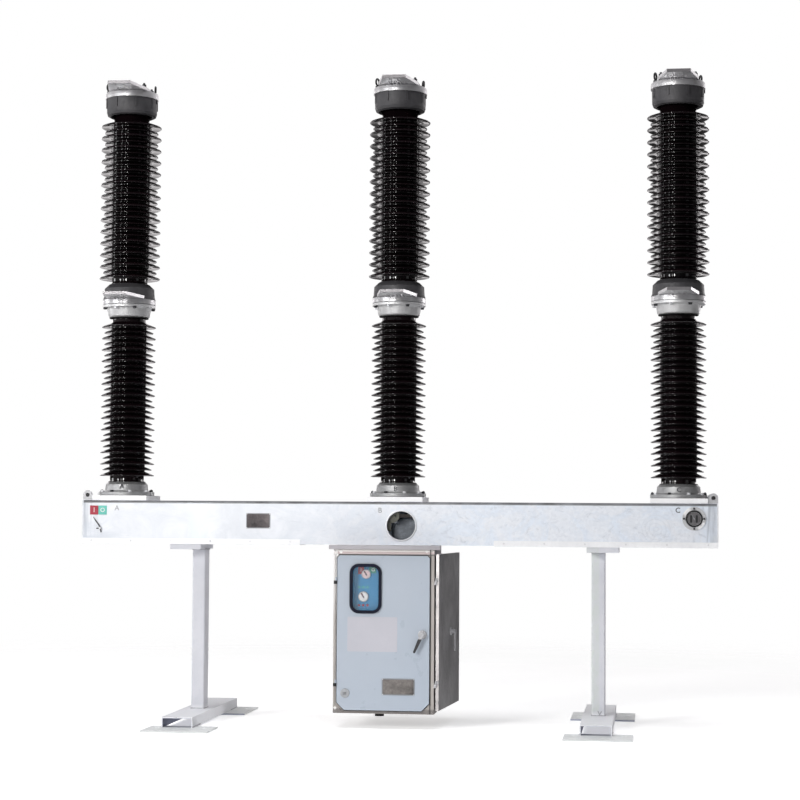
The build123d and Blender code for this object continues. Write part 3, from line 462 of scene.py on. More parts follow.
by_slot = dict(
    galvanised=m_zinc, painted_legs=m_legs, cast_aluminium=m_cast, terminal_aluminium=m_terminal,
    dark_fitting=m_dark, porcelain=m_porcelain, stainless=m_stainless, door_paint=m_door,
    dark_stainless=m_side_door, rubber_rim=m_rim, window_glass=m_glass, panel_blue=m_panel,
    dial_white=m_white, black_plastic=m_black, grey_plastic=m_grey, chrome=m_chrome, cast_iron=m_iron,
)
by_node = dict(
    beam_channel=m_beam, crank_levers=m_bracket, link_rod=m_link, pole_pads=m_pad_lit,
    bottom_cover_left=m_cover, bottom_cover_right=m_cover, base_housings=m_cast_base,
    lifting_lugs=m_lug, head_lifting_eyes=m_eye, foot_plates=m_plates, gas_gauge=m_ring,
    cabinet_flange=m_flange_shaded, cabinet_front_frame=m_front_frame, front_hinge_knuckles=m_door,
    front_handle=m_handle, cabinet_roof=m_stainless_wide, cabinet_floor=m_stainless_wide,
)
for part in frame["record"]["subparts"]:
    materials = nodes[part["node"]].data.materials
    materials.clear()
    materials.append(by_node.get(part["node"], by_slot[part["material_slot"]]))


# -------------------------------- mesh tools
def spot(x, y, z):
    """A place with its own Z up."""
    return Matrix.Translation((x, y, z))


def facing(x, y, z, turn=0.0):
    """A place on a face that looks to the front: own Z is the part's -Y, own Y is up. turn rolls it in that face."""
    m = Matrix(((1, 0, 0, x), (0, 0, -1, y), (0, 1, 0, z), (0, 0, 0, 1)))
    return m @ Matrix.Rotation(turn, 4, "Z")


def around(x, y, z, angle):
    """A place on an upright face: own Z points out at the angle, measured from the front, and own Y is up."""
    return Matrix.Translation((x, y, z)) @ Matrix.Rotation(angle, 4, "Z") @ facing(0, 0, 0)


def polygon(radius, count, turn=0.0):
    angles = [turn + 2 * math.pi * k / count for k in range(count)]
    return [(radius * math.cos(a), radius * math.sin(a)) for a in angles]


def rounded(width, height, radius, steps=6):
    """A rectangle's outline with round corners, about its own centre."""
    points = []
    for sx, sy, start in ((1, 1, 0), (-1, 1, 90), (-1, -1, 180), (1, -1, 270)):
        x, y = sx * (width / 2 - radius), sy * (height / 2 - radius)
        for k in range(steps + 1):
            a = math.radians(start + 90 * k / steps)
            points.append((x + radius * math.cos(a), y + radius * math.sin(a)))
    return points


def ring(bm, outline, level, place):
    return [bm.verts.new(place @ Vector((x, y, level))) for x, y in outline]


def skin(bm, rings, index=0):
    """Joins each ring of points to the next. A ring of one point closes an end."""
    for a, b in zip(rings, rings[1:]):
        count = max(len(a), len(b))
        for k in range(count):
            n = (k + 1) % count
            first = (a[k], a[n]) if len(a) > 1 else (a[0],)
            second = (b[n], b[k]) if len(b) > 1 else (b[0],)
            bm.faces.new(first + second).material_index = index


def revolve(bm, profile, place, segments, index=0):
    """Turns a (radius, level) profile about the place's own Z. A radius of 0 closes the end."""
    skin(bm, [ring(bm, polygon(r, segments) if r else [(0, 0)], level, place) for r, level in profile], index)


def prism(bm, outline, z0, z1, place, index=0, chamfer=0.0):
    """A plate of an outline, between two of the place's own levels, with a chamfered upper edge."""
    cx = sum(x for x, _ in outline) / len(outline)
    cy = sum(y for _, y in outline) / len(outline)
    shrink = 1 - chamfer / max(math.hypot(x - cx, y - cy) for x, y in outline)
    layers = [(1.0, z0), (1.0, z1 - chamfer)]
    if chamfer:
        layers.append((shrink, z1))
    rings = [ring(bm, [(cx + (x - cx) * s, cy + (y - cy) * s) for x, y in outline], z, place) for s, z in layers]
    for loop in (rings[0][::-1], rings[-1]):
        bm.faces.new(loop).material_index = index
    skin(bm, rings, index)


def bolt(bm, place, flats, height, stud=0.0, index=0):
    """A washer and a hexagon head or nut, with a stud end above it where stud is given."""
    r, washer = flats / 2, 0.003
    top = washer + height
    disc = [(0, 0), (r * 1.35, 0), (r * 1.35, washer - 0.001), (r * 1.25, washer), (0, washer)]
    revolve(bm, disc, place, 20, index)
    prism(bm, polygon(r / math.cos(math.pi / 6), 6, rng.uniform(0, 1)), washer, top, place, index, r * 0.1)
    if stud:
        tip = top + stud
        end = [(0, top - 0.001), (r * 0.58, top - 0.001), (r * 0.58, tip - 0.002), (r * 0.45, tip), (0, tip)]
        revolve(bm, end, place, 14, index)


def bead(bm, points, radius, sides=8, step=0.006, closed=False):
    """A weld bead along a line of points, rippled as each drop froze."""
    path = []
    for a, b in zip(points, points[1:] + points[:1] if closed else points[1:]):
        a, b = Vector(a), Vector(b)
        count = max(2, int((b - a).length / step))
        path += [a.lerp(b, k / count) for k in range(count)]
    if not closed:
        path.append(Vector(points[-1]))
    askew = Vector((0.31, 0.22, 0.93))  # along no bead
    rings = []
    for k, p in enumerate(path):
        before = path[k - 1] if k or closed else path[0]
        after = path[(k + 1) % len(path)] if k + 1 < len(path) or closed else path[-1]
        along = (after - before).normalized()
        side = along.cross(askew).normalized()
        up = along.cross(side)
        r = radius * (1 + 0.16 * math.sin(k * 2.1) + rng.uniform(-0.08, 0.08))
        rings.append([bm.verts.new(p + side * x + up * y) for x, y in polygon(r, sides)])
    skin(bm, rings + rings[:1] if closed else rings)
    if not closed:
        bm.faces.new(rings[0][::-1])
        bm.faces.new(rings[-1])


def bead_round(bm, x0, x1, y0, y1, z, radius):
    """A closed weld bead round an upright member, at one height."""
    bead(bm, [(x0, y0, z), (x1, y0, z), (x1, y1, z), (x0, y1, z)], radius, closed=True)


def glyph(bm, text, size, depth, place, index=0):
    """A letter or figure as a thin raised solid."""
    curve = bpy.data.curves.new("glyph", "FONT")
    curve.body = text
    curve.size = size
    curve.extrude = depth / 2
    curve.offset = size * 0.012
    curve.align_x = curve.align_y = "CENTER"
    curve.resolution_u = 3
    holder = bpy.data.objects.new("glyph", curve)
    mesh = bpy.data.meshes.new_from_object(holder)
    start, first = len(bm.verts), len(bm.faces)
    bm.from_mesh(mesh)
    bm.verts.ensure_lookup_table()
    bm.faces.ensure_lookup_table()
    for v in bm.verts[start:]:
        v.co = place @ (v.co + Vector((0, 0, depth / 2)))
    for face in bm.faces[first:]:
        face.material_index = index
    bpy.data.objects.remove(holder)
    bpy.data.curves.remove(curve)
    bpy.data.meshes.remove(mesh)


def put(name, data):
    """A new object in the scene, of a mesh, a lamp or a camera."""
    obj = bpy.data.objects.new(name, data)
    bpy.context.scene.collection.objects.link(obj)
    return obj


def piece(name, bm, body, materials, angle):
    """Makes the mesh a piece of the object that rides on a body."""
    bmesh.ops.recalc_face_normals(bm, faces=bm.faces[:])
    mesh = bpy.data.meshes.new(name)
    bm.to_mesh(mesh)
    bm.free()
    for material in materials:
        mesh.materials.append(material)
    mesh.shade_smooth()
    mesh.set_sharp_from_angle(angle=math.radians(angle))
    obj = put(name, mesh)
    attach(obj, body)
    return obj


# -------------------------------- details used more than once
corners = ((-1, -1), (-1, 1), (1, -1), (1, 1))


def nameplate(bm, at, back, face, levels, reach):
    """A plate on a flat front: a back sheet, a bare face on it, and a rivet near each corner."""
    sheet, top, foot = levels
    prism(bm, rounded(*back), 0.0, sheet, facing(*at), 0, 0.0004)
    prism(bm, rounded(*face), sheet, top, facing(*at), 1, 0.0002)
    rivet = [(0.003, foot), (0.003, foot + 0.0014), (0.002, foot + 0.0022), (0, foot + 0.0024)]
    for sx, sz in corners:
        revolve(bm, rivet, facing(at[0] + sx * reach[0], at[1], at[2] + sz * reach[1]), 12, 2)


def sign(bm, y, plate, size, text, letter_size, letter, index):
    """A small raised plate with a letter, each centred on its own x and z."""
    thick = 0.003
    prism(bm, rounded(*size, 0.003), 0.0, thick, facing(plate[0], y, plate[1]), index, 0.0006)
    glyph(bm, text, letter_size, 0.0006, facing(letter[0], y - thick, letter[1]), index + 2)


def scale(bm, x, y, z, radius, start, sweep, count, every, long, short, half):
    """The marks of a dial, over a sweep in degrees. They point inwards, and one in so many is long."""
    for k in range(count + 1):
        a = math.radians(start + sweep * k / count)
        size = short if k % every else long
        mark = [(-size, -half), (0, -half), (0, half), (-size, half)]
        prism(bm, mark, 0.0, 0.0003, facing(x + radius * math.cos(a), y, z + radius * math.sin(a), a), 1)


# -------------------------------- places read from the frame
pad_half = 0.170
pole_reach = (high("pole_pads").x - low("pole_pads").x) / 2 - pad_half
poles = (("a", -pole_reach), ("b", 0.0), ("c", pole_reach))
pole_places = [x for _, x in poles]
pad_top = high("pole_pads").z
base_top = low("support_insulators").z
support_top = low("mid_housings").z
mid_top = low("lower_terminals").z
interrupter_bottom = low("interrupter_insulators").z
interrupter_top = high("interrupter_insulators").z
upper_pad = high("head_caps").z
front_y = low("beam_channel").y
beam_top = high("beam_channel").z
beam_bottom = low("beam_channel").z


# -------------------------------- porcelain insulators
def shed_profile(bottom, top, barrel, large, small, first, pitch, nose, slope):
    """From the foot to the top: a flared foot, drooping sheds with a rounded nose, and the barrel between them."""
    sheds = 27
    half = nose / 2
    neck = barrel - 0.005
    points = [(0, bottom), (neck + 0.003, bottom), (neck + 0.0035, bottom + 0.003)]
    points += [(neck + 0.001, bottom + 0.009), (neck, bottom + 0.014)]
    for shed in range(sheds):
        r = small if shed % 2 else large
        wide = r - barrel
        z = bottom + first - 0.003 + shed * pitch / 2
        foot = barrel if shed else neck
        points += [
            (foot, z - 0.0012),
            (foot + 0.0015, z + 0.0040),
            (foot + 0.0060, z + wide * 0.11),
            (barrel + wide * 0.45, z + wide * 0.065),
            (r - half - 0.004, z + 0.0010),
        ]
        for turn in (-80, -45, -10, 25, 62):
            a = math.radians(turn)
            points.append((r - half + half * math.cos(a), z + half + half * math.sin(a)))
        for out, rise in ((0.60, 0.40), (0.22, 0.76), (0.05, 0.96), (0.0, 1.06)):
            points.append((barrel + wide * out, z + nose + wide * rise * slope))
    return points + [(neck, z + 0.036), (neck, top), (0, top)]


# barrel, large and small shed radius, first shed, pitch, nose and slope
support_sheds = (0.1095, 0.167, 0.152, 0.041, 0.0710, 0.0062, 0.38)
interrupter_sheds = (0.116, 0.187, 0.167, 0.0375, 0.0733, 0.0094, 0.325)
insulators = (
    ("support_porcelain_", "support_insulators", base_top, support_top, support_sheds),
    ("interrupter_porcelain_", "interrupter_insulators", interrupter_bottom, interrupter_top, interrupter_sheds),
)
for letter, x in poles:
    for name, node, bottom, top, sizes in insulators:
        bm = bmesh.new()
        revolve(bm, shed_profile(bottom, top, *sizes), spot(x, 0, 0), 88)
        obj = piece(name + letter, bm, "stand", [m_porcelain], 75.0)
        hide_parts(node)

# -------------------------------- pole fittings: joints, bolts, seals, a band of painted shade, letters
flange_top = pad_top + 0.022
bm = bmesh.new()
for x in pole_places:
    for k, (near, right) in enumerate(polygon(0.149, 8, math.radians(22.5))):
        bolt(bm, spot(x + right, -near, flange_top), 0.018, 0.009, 0.0, 1 if k % 4 == 3 else 0)
    for side in (-1, 1):
        bolt(bm, spot(x + side * 0.157, 0, flange_top), 0.017, 0.010, 0.003, 1)
    for k, (near, right) in enumerate(polygon(0.152, 8, math.radians(-18))):
        place = spot(x + right, -near, mid_top - 0.017) @ Matrix.Rotation(math.pi, 4, "X")
        bolt(bm, place, 0.020, 0.009, 0.0, k % 2)
    for side in (-1, 1):
        for y in (-0.110, 0.078):
            bolt(bm, spot(x + side * 0.104, y, upper_pad), 0.024, 0.014, 0.010, 1)
    for back, right in polygon(0.076, 6):
        bolt(bm, spot(x + right, back, high("head_covers").z), 0.013, 0.006)
piece("pole_bolts", bm, "stand", [m_bolt, m_bolt_dull], 30.0)

# (radius, height above the level) profiles of the seals; the first is a dark band round the flange's foot, standing in
# for the shade under its edge
seals_and_shade_band = (
    (pad_top, ((0.1635, 0.0003), (0.1646, 0.0006), (0.1646, 0.0030), (0.1635, 0.0034))),
    (base_top, ((0.1145, -0.001), (0.1145, 0.003), (0.1085, 0.0035))),
    (support_top, ((0.1035, -0.006), (0.121, -0.005), (0.121, 0.001), (0.119, 0.002))),
    (interrupter_bottom, ((0.121, -0.0005), (0.1215, 0.002), (0.114, 0.003))),
)
bm = bmesh.new()
for x in pole_places:
    for level, profile in seals_and_shade_band:
        revolve(bm, [(r, level + up) for r, up in profile], spot(x, 0, 0), 64)
piece("pole_seals_and_shade_band", bm, "stand", [m_seal], 30.0)

base_front = -0.1322
bm = bmesh.new()
for letter, x, z in (("A", -1.696, 1.4250), ("B", 0.002, 1.4180), ("C", 1.701, 1.4200)):
    glyph(bm, letter, 0.040, 0.0014, facing(x, base_front, z))
piece("base_phase_letters", bm, "stand", [m_print], 30.0)
bm = bmesh.new()
for letter, x, z, index in (("A", -1.712, 1.2920, 0), ("B", -0.085, 1.2870, 0), ("C", 1.693, 1.2980, 1)):
    glyph(bm, letter, 0.043, 0.0010, facing(x, front_y, z), index)
piece("beam_phase_letters", bm, "stand", [m_grey, m_print], 30.0)

# -------------------------------- beam: plates, signs, pointer, rims and welds
bm = bmesh.new()
back, face, levels = (0.150, 0.093, 0.004), (0.140, 0.083, 0.003), (0.0016, 0.0021, 0.0018)
nameplate(bm, (-0.8305, front_y, 1.2205), back, face, levels, (0.070, 0.0415))
piece("beam_nameplate", bm, "stand", [m_plate_grey, m_plate, m_bolt], 30.0)

bm = bmesh.new()
for index, (x, text, size) in enumerate(((-1.8546, "I", 0.040), (-1.8012, "O", 0.036))):
    sign(bm, front_y, (x, 1.2793), (0.0525, 0.0555), text, size, (x, 1.2793), index)
piece("position_signs", bm, "stand", [m_red, m_teal, m_pink, m_white], 30.0)

bm = bmesh.new()
pivot_x, pivot_z = -1.8150, 1.1700
arm = [(-1.8575, 1.2370), (-1.8403, 1.2120), (-1.8225, 1.1880), (pivot_x, pivot_z), (-1.8070, 1.1440)]
left, right = [], []
for k, (x, z) in enumerate(arm):
    before, after = arm[max(k - 1, 0)], arm[min(k + 1, len(arm) - 1)]
    dx, dz = after[0] - before[0], after[1] - before[1]
    half = (0.0032 if k else 0.0012) / math.hypot(dx, dz)
    left.append((x - dz * half, z + dx * half))
    right.append((x + dz * half, z - dx * half))
outline = [(x - pivot_x, z - pivot_z) for x, z in left + right[::-1]]
hub = [(0.0105, 0), (0.0105, 0.0035), (0.0075, 0.0055), (0.0075, 0.0115), (0.006, 0.0130), (0, 0.0130)]
prism(bm, outline, 0.0062, 0.0092, facing(pivot_x, front_y, pivot_z))
revolve(bm, hub, facing(pivot_x, front_y, pivot_z), 24, 1)
prism(bm, rounded(0.020, 0.006, 0.002), 0.0, 0.0050, facing(-1.8300, front_y, 1.1674), 0, 0.0006)
piece("position_pointer", bm, "stand", [m_bolt_dull, m_bolt], 30.0)

bm = bmesh.new()
hole = 0.087  # radius
lip = ((-0.0015, -0.009), (-0.0015, 0.0015), (0, 0.0032), (0.006, 0.0036), (0.0085, 0.0022), (0.0095, 0.0))
revolve(bm, [(hole + out, level) for out, level in lip], facing(0.043, front_y, beam_bottom + 0.117), 96)
piece("sight_hole_rim", bm, "stand", [m_zinc], 40.0)

lug_high = high("lifting_lugs")
lug_places = [(sx * (lug_high.x - 0.028), sy * (lug_high.y - 0.006)) for sx, sy in corners]
bm = bmesh.new()
for sx in (-1, 1):
    x = sx * (high("beam_channel").x + 0.0045)
    front = [(front_y + 0.0005, beam_bottom + 0.004), (front_y + 0.0005, beam_top - 0.016)]
    front.append((front_y + 0.012, beam_top - 0.001))
    bead(bm, [(x, y, z) for y, z in front] + [(x, -y, z) for y, z in front[::-1]], 0.0019)
for x, y in lug_places:
    bead_round(bm, x - 0.024, x + 0.024, y - 0.007, y + 0.007, beam_top + 0.001, 0.0028)
for x in pole_places:
    bead_round(bm, x - 0.1705, x + 0.1705, -0.1755, 0.1755, beam_top + 0.0005, 0.0026)
piece("beam_welds", bm, "stand", [m_zinc], 50.0)

bm = bmesh.new()
pin = [(0, -0.0075), (0.0100, -0.0075), (0.0118, -0.0055), (0.0118, 0.0055), (0.0100, 0.0075), (0, 0.0075)]
for x, y in lug_places:
    revolve(bm, pin, facing(x, y, lug_high.z - 0.028), 28)
piece("lug_pins", bm, "stand", [m_eye], 35.0)

bm = bmesh.new()
for cover in ("bottom_cover_left", "bottom_cover_right"):
    x0, x1 = low(cover).x + 0.06, high(cover).x - 0.06
    for k in range(6):
        for y, angle in ((low(cover).y, 0), (high(cover).y, math.pi)):
            bolt(bm, around(x0 + (x1 - x0) * k / 5, y, beam_bottom + 0.015, angle), 0.008, 0.002)
piece("cover_screws", bm, "stand", [m_bolt], 30.0)

# -------------------------------- gas density gauge
gx, _, gz = middle("gas_gauge")
gauge_y = low("gas_gauge").y
bm = bmesh.new()
for dx, dz in polygon(0.0595, 4):
    bolt(bm, facing(gx + dx, front_y - 0.008, gz + dz), 0.009, 0.004)
piece("gauge_bolts", bm, "stand", [m_bolt_dull], 30.0)
bm = bmesh.new()
bezel = [(0.0500, 0.0), (0.0505, 0.004), (0.0490, 0.0068), (0.0455, 0.0078), (0.0425, 0.0070)]
bezel += [(0.0405, 0.0045), (0.0400, -0.004)]
revolve(bm, bezel, facing(gx, gauge_y + 0.004, gz), 72)
piece("gauge_bezel", bm, "stand", [m_black], 40.0)
bm = bmesh.new()
face_y = gauge_y + 0.0050
mark_y = face_y - 0.0009
revolve(bm, [(0.0398, 0.0), (0.0398, 0.0008), (0, 0.0010)], facing(gx, face_y, gz), 64)
scale(bm, gx, mark_y, gz, 0.0355, -40, 260, 24, 6, 0.006, 0.0035, 0.0005)
for sx in (-1, 1):
    prism(bm, rounded(0.0125, 0.046, 0.0060), 0.0, 0.0006, facing(gx + sx * 0.0165 - 0.001, mark_y, gz - 0.001), 1)
needle = [(-0.0012, -0.010), (0.0012, -0.010), (0.0005, 0.031), (-0.0005, 0.031)]
prism(bm, needle, 0.0014, 0.0022, facing(gx, mark_y, gz, 0.5), 2)
revolve(bm, [(0.0036, 0), (0.0036, 0.0030), (0.0025, 0.0036), (0, 0.0036)], facing(gx, mark_y, gz), 20, 2)
piece("gauge_dial", bm, "stand", [m_gauge_face, m_black, m_grey], 30.0)

# -------------------------------- legs and feet: welds
bm = bmesh.new()
for side in ("left", "right"):
    a, b = corner["leg_" + side]
    for z in (a.z + 0.001, b.z - 0.001):
        bead_round(bm, a.x, b.x, a.y, b.y, z, 0.0040)
    a, b = corner["foot_channel_" + side]
    for x in (a.x, b.x):
        for y0, y1 in ((a.y + 0.01, a.y + 0.20), (b.y - 0.20, b.y - 0.01)):
            bead(bm, [(x, y0, a.z + 0.001), (x, y1, a.z + 0.001)], 0.0045)
# a V-shaped mark low on the right leg
x, y, z = low("leg_right") + Vector((0.049, -0.0005, 0.004))
bead(bm, [(x - 0.011, y, z + 0.026), (x, y, z + 0.003), (x + 0.011, y, z + 0.026)], 0.0028)
piece("leg_welds", bm, "stand", [m_weld], 50.0)

# -------------------------------- cabinet: frame details
a, b = corner["cabinet_front_frame"]
y = a.y - 0.0002
bm = bmesh.new()
for x, z, sx, sz in ((a.x, b.z, 1, -1), (b.x, b.z, -1, -1), (a.x, a.z, 1, 1), (b.x, a.z, -1, 1)):
    bead(bm, [(x + sx * reach, y, z + sz * reach) for reach in (0.001, 0.013)], 0.0012, 6, 0.003)
piece("frame_mitre_welds", bm, "stand", [m_stainless_wide], 50.0)

bm = bmesh.new()
a, b = corner["front_door"]
inset, strip = 0.0045, 0.006
for x0, x1, z0, z1 in (
    (a.x + inset, a.x + inset + strip, a.z + 0.05, b.z - 0.02),
    (b.x - inset - strip, b.x - inset, a.z + 0.05, b.z - 0.02),
    (a.x + 0.05, b.x - 0.05, a.z - 0.001, a.z - 0.001 + strip),
    (a.x + 0.02, b.x - 0.02, b.z + 0.001 - strip, b.z + 0.001),
):
    place = facing((x0 + x1) / 2, b.y + 0.005, (z0 + z1) / 2)
    prism(bm, rounded(x1 - x0, z1 - z0, 0.0025, 3), 0.0, 0.0036, place, 0, 0.0012)
piece("door_seal_strip", bm, "stand", [m_seal], 40.0)

# -------------------------------- front door
door_y = low("front_door").y
bm = bmesh.new()
prism(bm, rounded(0.298, 0.205, 0.006), 0.0, 0.0005, facing(-0.103, door_y, 0.5545), 0, 0.0002)
piece("door_label_bare", bm, "front_door_body", [m_label], 30.0)

bm = bmesh.new()
back, face, levels = (0.196, 0.098, 0.006), (0.184, 0.086, 0.004), (0.0014, 0.0018, 0.0014)
nameplate(bm, (0.054, door_y, 0.247), back, face, levels, (0.0930, 0.0445))
piece("door_nameplate", bm, "front_door_body", [m_plate_grey, m_plate_warm, m_bolt], 30.0)

x, _, z = middle("vent_cap")
y = low("vent_cap").y
bm = bmesh.new()
edge = [(0.0195, -0.0012), (0.0195, 0.0010), (0.0180, 0.0022), (0.0150, 0.0022), (0.0135, 0.0008), (0.0135, -0.0012)]
revolve(bm, edge, facing(x, y, z), 48)
for k in (-1, 0, 1):
    prism(bm, rounded(0.020, 0.0022, 0.001, 3), -0.0005, 0.0006, facing(x, y, z + k * 0.0058), 1)
piece("vent_cap_ring", bm, "front_door_body", [m_grey, m_black], 35.0)

x, _, z = middle("window_rim")
rim_low, rim_high = corner["window_rim"]
rim_height = rim_high.z - rim_low.z
outer = rounded(0.164, rim_height - 0.027, 0.042, 10)
inner = rounded(0.154, rim_height - 0.037, 0.037, 10)
place = facing(x, rim_low.y, z)
bm = bmesh.new()
lip = ((outer, 0.0005), (outer, -0.0020), (inner, -0.0050), (inner, -0.0085))
skin(bm, [ring(bm, outline, level, place) for outline, level in lip])
piece("window_lip", bm, "front_door_body", [m_rim], 40.0)

x, _, z = middle("front_handle_base")
bm = bmesh.new()
revolve(bm, [(0.0235, 0.0), (0.0262, 0.0004), (0.0262, 0.0022), (0.0235, 0.0032)], facing(x, door_y, z), 40)
piece("handle_rosette", bm, "front_door_body", [m_chrome], 35.0)
place = facing(x, low("front_handle").y, z)
bm = bmesh.new()
lock = [(0.0105, -0.001), (0.0105, 0.0010), (0.0092, 0.0020), (0.0060, 0.0020), (0.0052, 0.0008), (0, 0.0008)]
revolve(bm, lock, place, 32)
prism(bm, rounded(0.0018, 0.0070, 0.0008, 2), 0.0008, 0.0012, place, 1)
piece("handle_lock", bm, "front_handle_body", [m_chrome, m_black], 35.0)

# -------------------------------- control panel behind the window
panel_y = low("control_panel").y
bm = bmesh.new()
sign(bm, panel_y, (-0.1782, 0.9290), (0.0365, 0.0420), "I", 0.026, (-0.1782, 0.9310), 0)
sign(bm, panel_y, (-0.1090, 0.9320), (0.0425, 0.0370), "O", 0.026, (-0.1050, 0.9335), 1)
for width, height, z, index in ((0.0125, 0.0135, 0.8310, 4), (0.0150, 0.0125, 0.7235, 0)):
    for x in (-0.1885, -0.1640, -0.1385):
        prism(bm, rounded(width, height, 0.001, 2), 0.0, 0.0006, facing(x, panel_y, z), index)
piece("panel_signs", bm, "stand", [m_red, m_green, m_pink, m_white, m_mark], 30.0)

a, b = corner["panel_dials"]
mark_y = a.y - 0.0006
bm = bmesh.new()
for x, z, r, lean, face in ((b.x - 0.028, b.z - 0.028, 0.028, 0.55, 4), (a.x + 0.031, a.z + 0.031, 0.031, 0.50, 3)):
    rim = ((-0.0002, -0.001), (0, 0.0005), (-0.0012, 0.0018), (-0.0040, 0.0018), (-0.0045, 0.0004))
    revolve(bm, [(r + out, level) for out, level in rim], facing(x, a.y, z), 56)
    revolve(bm, [(r - 0.0042, 0.0003), (0, 0.0005)], facing(x, a.y, z), 56, face)
    scale(bm, x, mark_y, z, r - 0.0055, -30, 240, 20, 5, 0.004, 0.0022, 0.0004)
    needle = [(-0.0030, -0.010), (0.0030, -0.010), (0.0052, r * 0.78), (-0.0052, r * 0.78)]
    prism(bm, needle, 0.0010, 0.0020, facing(x, mark_y, z, lean), 2)
    revolve(bm, [(0.0042, 0), (0.0042, 0.0026), (0.003, 0.0034), (0, 0.0034)], facing(x, mark_y, z), 20, 1)
piece("panel_dial_faces", bm, "stand", [m_grey, m_print, m_needle, m_white, m_pink], 30.0)

# -------------------------------- cable gland
bm = bmesh.new()
a, b = corner["cable_gland"]
x, y, _ = middle("cable_gland")
hollows, ridges = polygon(0.0262, 72), polygon(0.0272, 72)
outline = [(ridges if k % 2 else hollows)[k] for k in range(72)]
prism(bm, outline, a.z + 0.002, b.z - 0.003, spot(x, y, 0), 0, 0.001)
piece("gland_nut", bm, "stand", [m_black], 20.0)

# -------------------------------- stage: floor
floor = bmesh.new()
revolve(floor, [(r, -0.0005) for r in (14.0, 11.0, 9.0, 7.0, 5.0, 3.0, 0)], spot(0, 0, 0), 96)
mesh = bpy.data.meshes.new("studio_floor")
floor.to_mesh(mesh)
floor.free()
ground = put("studio_floor", mesh)
stage_mat = bpy.data.materials.new("studio_floor")
mesh.materials.append(stage_mat)
tree = fresh(stage_mat)
coord = add(tree, "TexCoord", {}).outputs["Object"]
length = add(tree, "VectorMath", {0: coord}, operation="LENGTH").outputs["Value"]
reach = {"Value": length, "From Min": 3.0, "From Max": 9.0}
fade = add(tree, "MapRange", reach, interpolation_type="SMOOTHSTEP").outputs["Result"]
matt = add(tree, "BsdfDiffuse", {"Color": (0.93, 0.93, 0.93, 1)}).outputs[0]
glow = add(tree, "Emission", {"Color": (1.0, 1.0, 1.0, 1), "Strength": 0.43}).outputs[0]
both = add(tree, "AddShader", {0: matt, 1: glow}).outputs[0]
shade = add(tree, "Emission", {"Color": (1.0, 0.97, 0.98, 1), "Strength": 0.14}).outputs[0]
glossy = add(tree, "LightPath", {}).outputs["Is Glossy Ray"]
lit = add(tree, "MixShader", {"Fac": glossy, 1: both, 2: shade}).outputs[0]
clear = add(tree, "BsdfTransparent", {}).outputs[0]
shown = add(tree, "MixShader", {"Fac": fade, 1: lit, 2: clear}).outputs[0]
add(tree, "OutputMaterial", {"Surface": shown})

# -------------------------------- stage: surroundings, white to the camera
world = bpy.data.worlds.new("studio")
bpy.context.scene.world = world
tree = fresh(world)
direction = add(tree, "TexCoord", {}).outputs["Generated"]
to_x, to_y, to_z = add(tree, "SeparateXYZ", {0: direction}).outputs


def steps(output, *stops):
    """A strength that follows one part of the direction: (part from -1 to 1, strength) pairs."""
    spread = add(tree, "MapRange", {"Value": output, "From Min": -1.0}).outputs["Result"]
    ramp = add(tree, "ValToRGB", {"Fac": spread})
    marks = ramp.color_ramp.elements
    marks.remove(marks[0])
    marks[0].position = (stops[0][0] + 1) / 2
    marks[0].color = (stops[0][1],) * 3 + (1,)
    for at, value in stops[1:]:
        marks.new((at + 1) / 2).color = (value,) * 3 + (1,)
    return ramp.outputs["Color"]


bands = ((-1, 0.4), (-0.25, 0.85), (-0.125, 1.0), (-0.105, 0.03), (0.05, 0.03), (0.11, 1.0))
back_height = steps(to_z, *bands, (0.42, 0.9), (0.55, 0.10), (0.82, 0.12), (0.95, 0.3))
bands = ((-0.9, 0.4), (-0.42, 1.2), (-0.24, 1.1), (-0.16, 0.65), (-0.12, 0.28), (-0.03, 0.05))
low_side = steps(to_x, *bands, (0.25, 0.05), (0.9, 0.2))
bands = ((-0.9, 0.4), (-0.42, 1.2), (-0.24, 1.2), (-0.17, 1.5), (-0.145, 1.2), (-0.115, 0.35), (-0.07, 0.40))
near_side = steps(to_x, *bands, (-0.04, 1.5), (0.02, 1.3), (0.10, 0.6), (0.25, 0.4), (0.9, 0.2))
high_side = steps(to_x, (-0.9, 0.4), (-0.35, 0.9), (-0.14, 0.7), (0.02, 1.25), (0.35, 1.2), (0.9, 0.3))
raised = steps(to_z, (-0.05, 0.0), (0.05, 1.0))
close = steps(to_z, (-0.20, 0.0), (-0.18, 1.0))
front_height = steps(to_z, (-0.4, 0.20), (0.0, 0.10), (0.5, 0.14), (0.9, 0.25))
front_side = steps(to_x, (-0.9, 2.2), (-0.3, 1.3), (0.0, 0.8), (0.3, 0.4), (0.9, 0.3))
behind = steps(to_y, (-0.1, 0.0), (0.25, 1.0))
back_side = mix(tree, raised, mix(tree, close, low_side, near_side), high_side)
back = mix(tree, 1.0, back_height, back_side, "MULTIPLY")
front = mix(tree, 1.0, front_height, front_side, "MULTIPLY")
strength = mix(tree, behind, front, back)
soft = add(tree, "Background", {"Color": (1.0, 0.965, 0.975, 1), "Strength": strength}).outputs[0]
seen = add(tree, "Background", {"Color": (1, 1, 1, 1), "Strength": 1.0}).outputs[0]
to_camera = add(tree, "LightPath", {}).outputs["Is Camera Ray"]
pick = add(tree, "MixShader", {"Fac": to_camera, 1: soft, 2: seen}).outputs[0]
add(tree, "OutputWorld", {"Surface": pick})

# -------------------------------- stage: lamps
daylight, cool, key_tint, rosy = (1.0, 0.99, 0.97), (0.98, 0.99, 1.0), (1.0, 0.995, 0.985), (1.0, 0.97, 0.98)
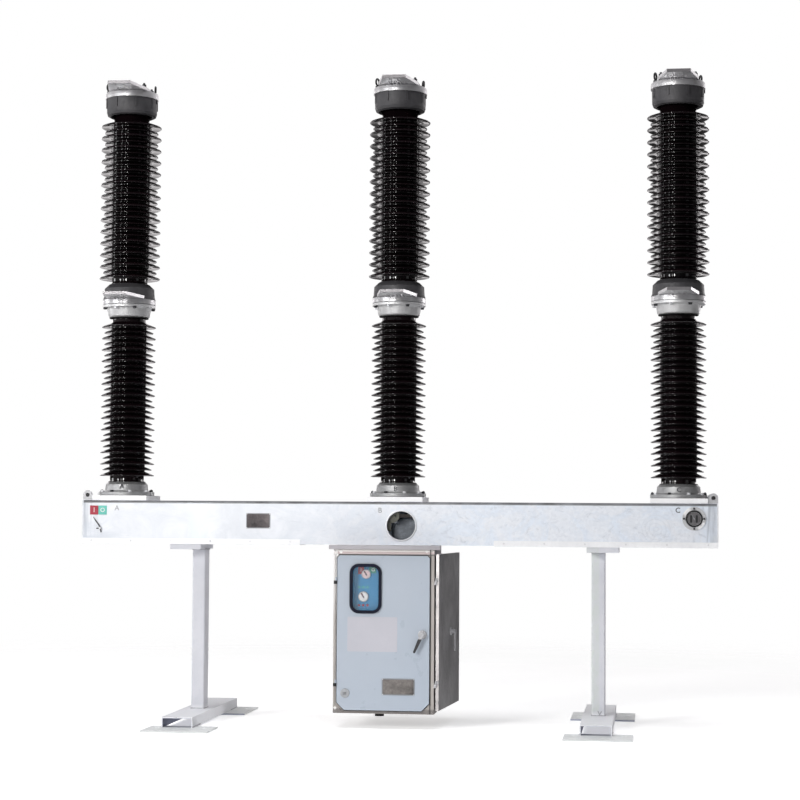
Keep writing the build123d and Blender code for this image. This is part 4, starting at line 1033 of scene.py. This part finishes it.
# name, place, height of the aim above the origin, width, height, power, tint, and what it lights
lamps = (
    ("window_near", (-3.5, -11.6, 4.0), 2.2, 0.7, 4.0, 420, daylight, "gloss"),
    ("window_mid", (-6.4, -10.2, 4.2), 2.2, 0.6, 3.6, 90, daylight, "gloss"),
    ("window_left", (-9.6, -7.2, 4.0), 2.2, 1.1, 3.6, 240, cool, "gloss"),
    ("window_far_left", (-11.5, 1.5, 3.6), 2.4, 2.6, 4.0, 160, cool, "both"),
    ("key", (-11.0, -16.0, 7.0), 1.8, 5.0, 5.0, 2120, key_tint, "colour"),
    ("rim_right", (7.4, 9.5, 4.3), 2.8, 3.0, 3.5, 130, rosy, "both"),
    ("rim_left", (-7.5, 8.5, 4.3), 2.8, 2.0, 3.5, 70, rosy, "both"),
    ("overhead", (0, -1.5, 8.0), 1.0, 7.0, 4.0, 290, (0.97, 0.98, 1.0), "colour"),
    ("front_fill", (6.0, -16.0, 5.0), 1.8, 4.0, 4.0, 120, cool, "colour"),
    ("right_fill", (9.0, -5.0, 3.0), 1.6, 3.0, 4.0, 14, (0.95, 0.97, 1.0), "both"),
)
for name, place, aim, width, height, power, tint, lights in lamps:
    data = bpy.data.lights.new(name, "AREA")
    data.shape = "RECTANGLE"
    data.size = width
    data.size_y = height
    data.energy = power
    data.color = tint
    lamp = put(name, data)
    lamp.location = place
    lamp.rotation_euler = (Vector((0, 0, aim)) - Vector(place)).to_track_quat("-Z", "Y").to_euler()
    lamp.visible_camera = False
    lamp.visible_glossy = lights != "colour"
    lamp.visible_diffuse = lights != "gloss"

# -------------------------------- stage: camera
camera_data = bpy.data.cameras.new("camera")
camera_data.sensor_width = 36.0
camera_data.lens = 90.3
camera_data.clip_end = 200.0
camera = put("camera", camera_data)
bpy.context.scene.camera = camera
yaw, pitch, roll = math.radians(-7.195), math.radians(3.275), math.radians(0.371)
ahead = Vector((math.sin(yaw) * math.cos(pitch), math.cos(yaw) * math.cos(pitch), math.sin(pitch)))
level = Vector((math.cos(yaw), -math.sin(yaw), 0))
upright = level.cross(ahead)
right = level * math.cos(roll) + upright * math.sin(roll)
up = upright * math.cos(roll) - level * math.sin(roll)
turn = Matrix((right, up, -ahead)).transposed().to_4x4()
camera.matrix_world = Matrix.Translation((1.547, -12.181, 1.262)) @ turn
bpy.context.scene.view_settings.view_transform = "Standard"
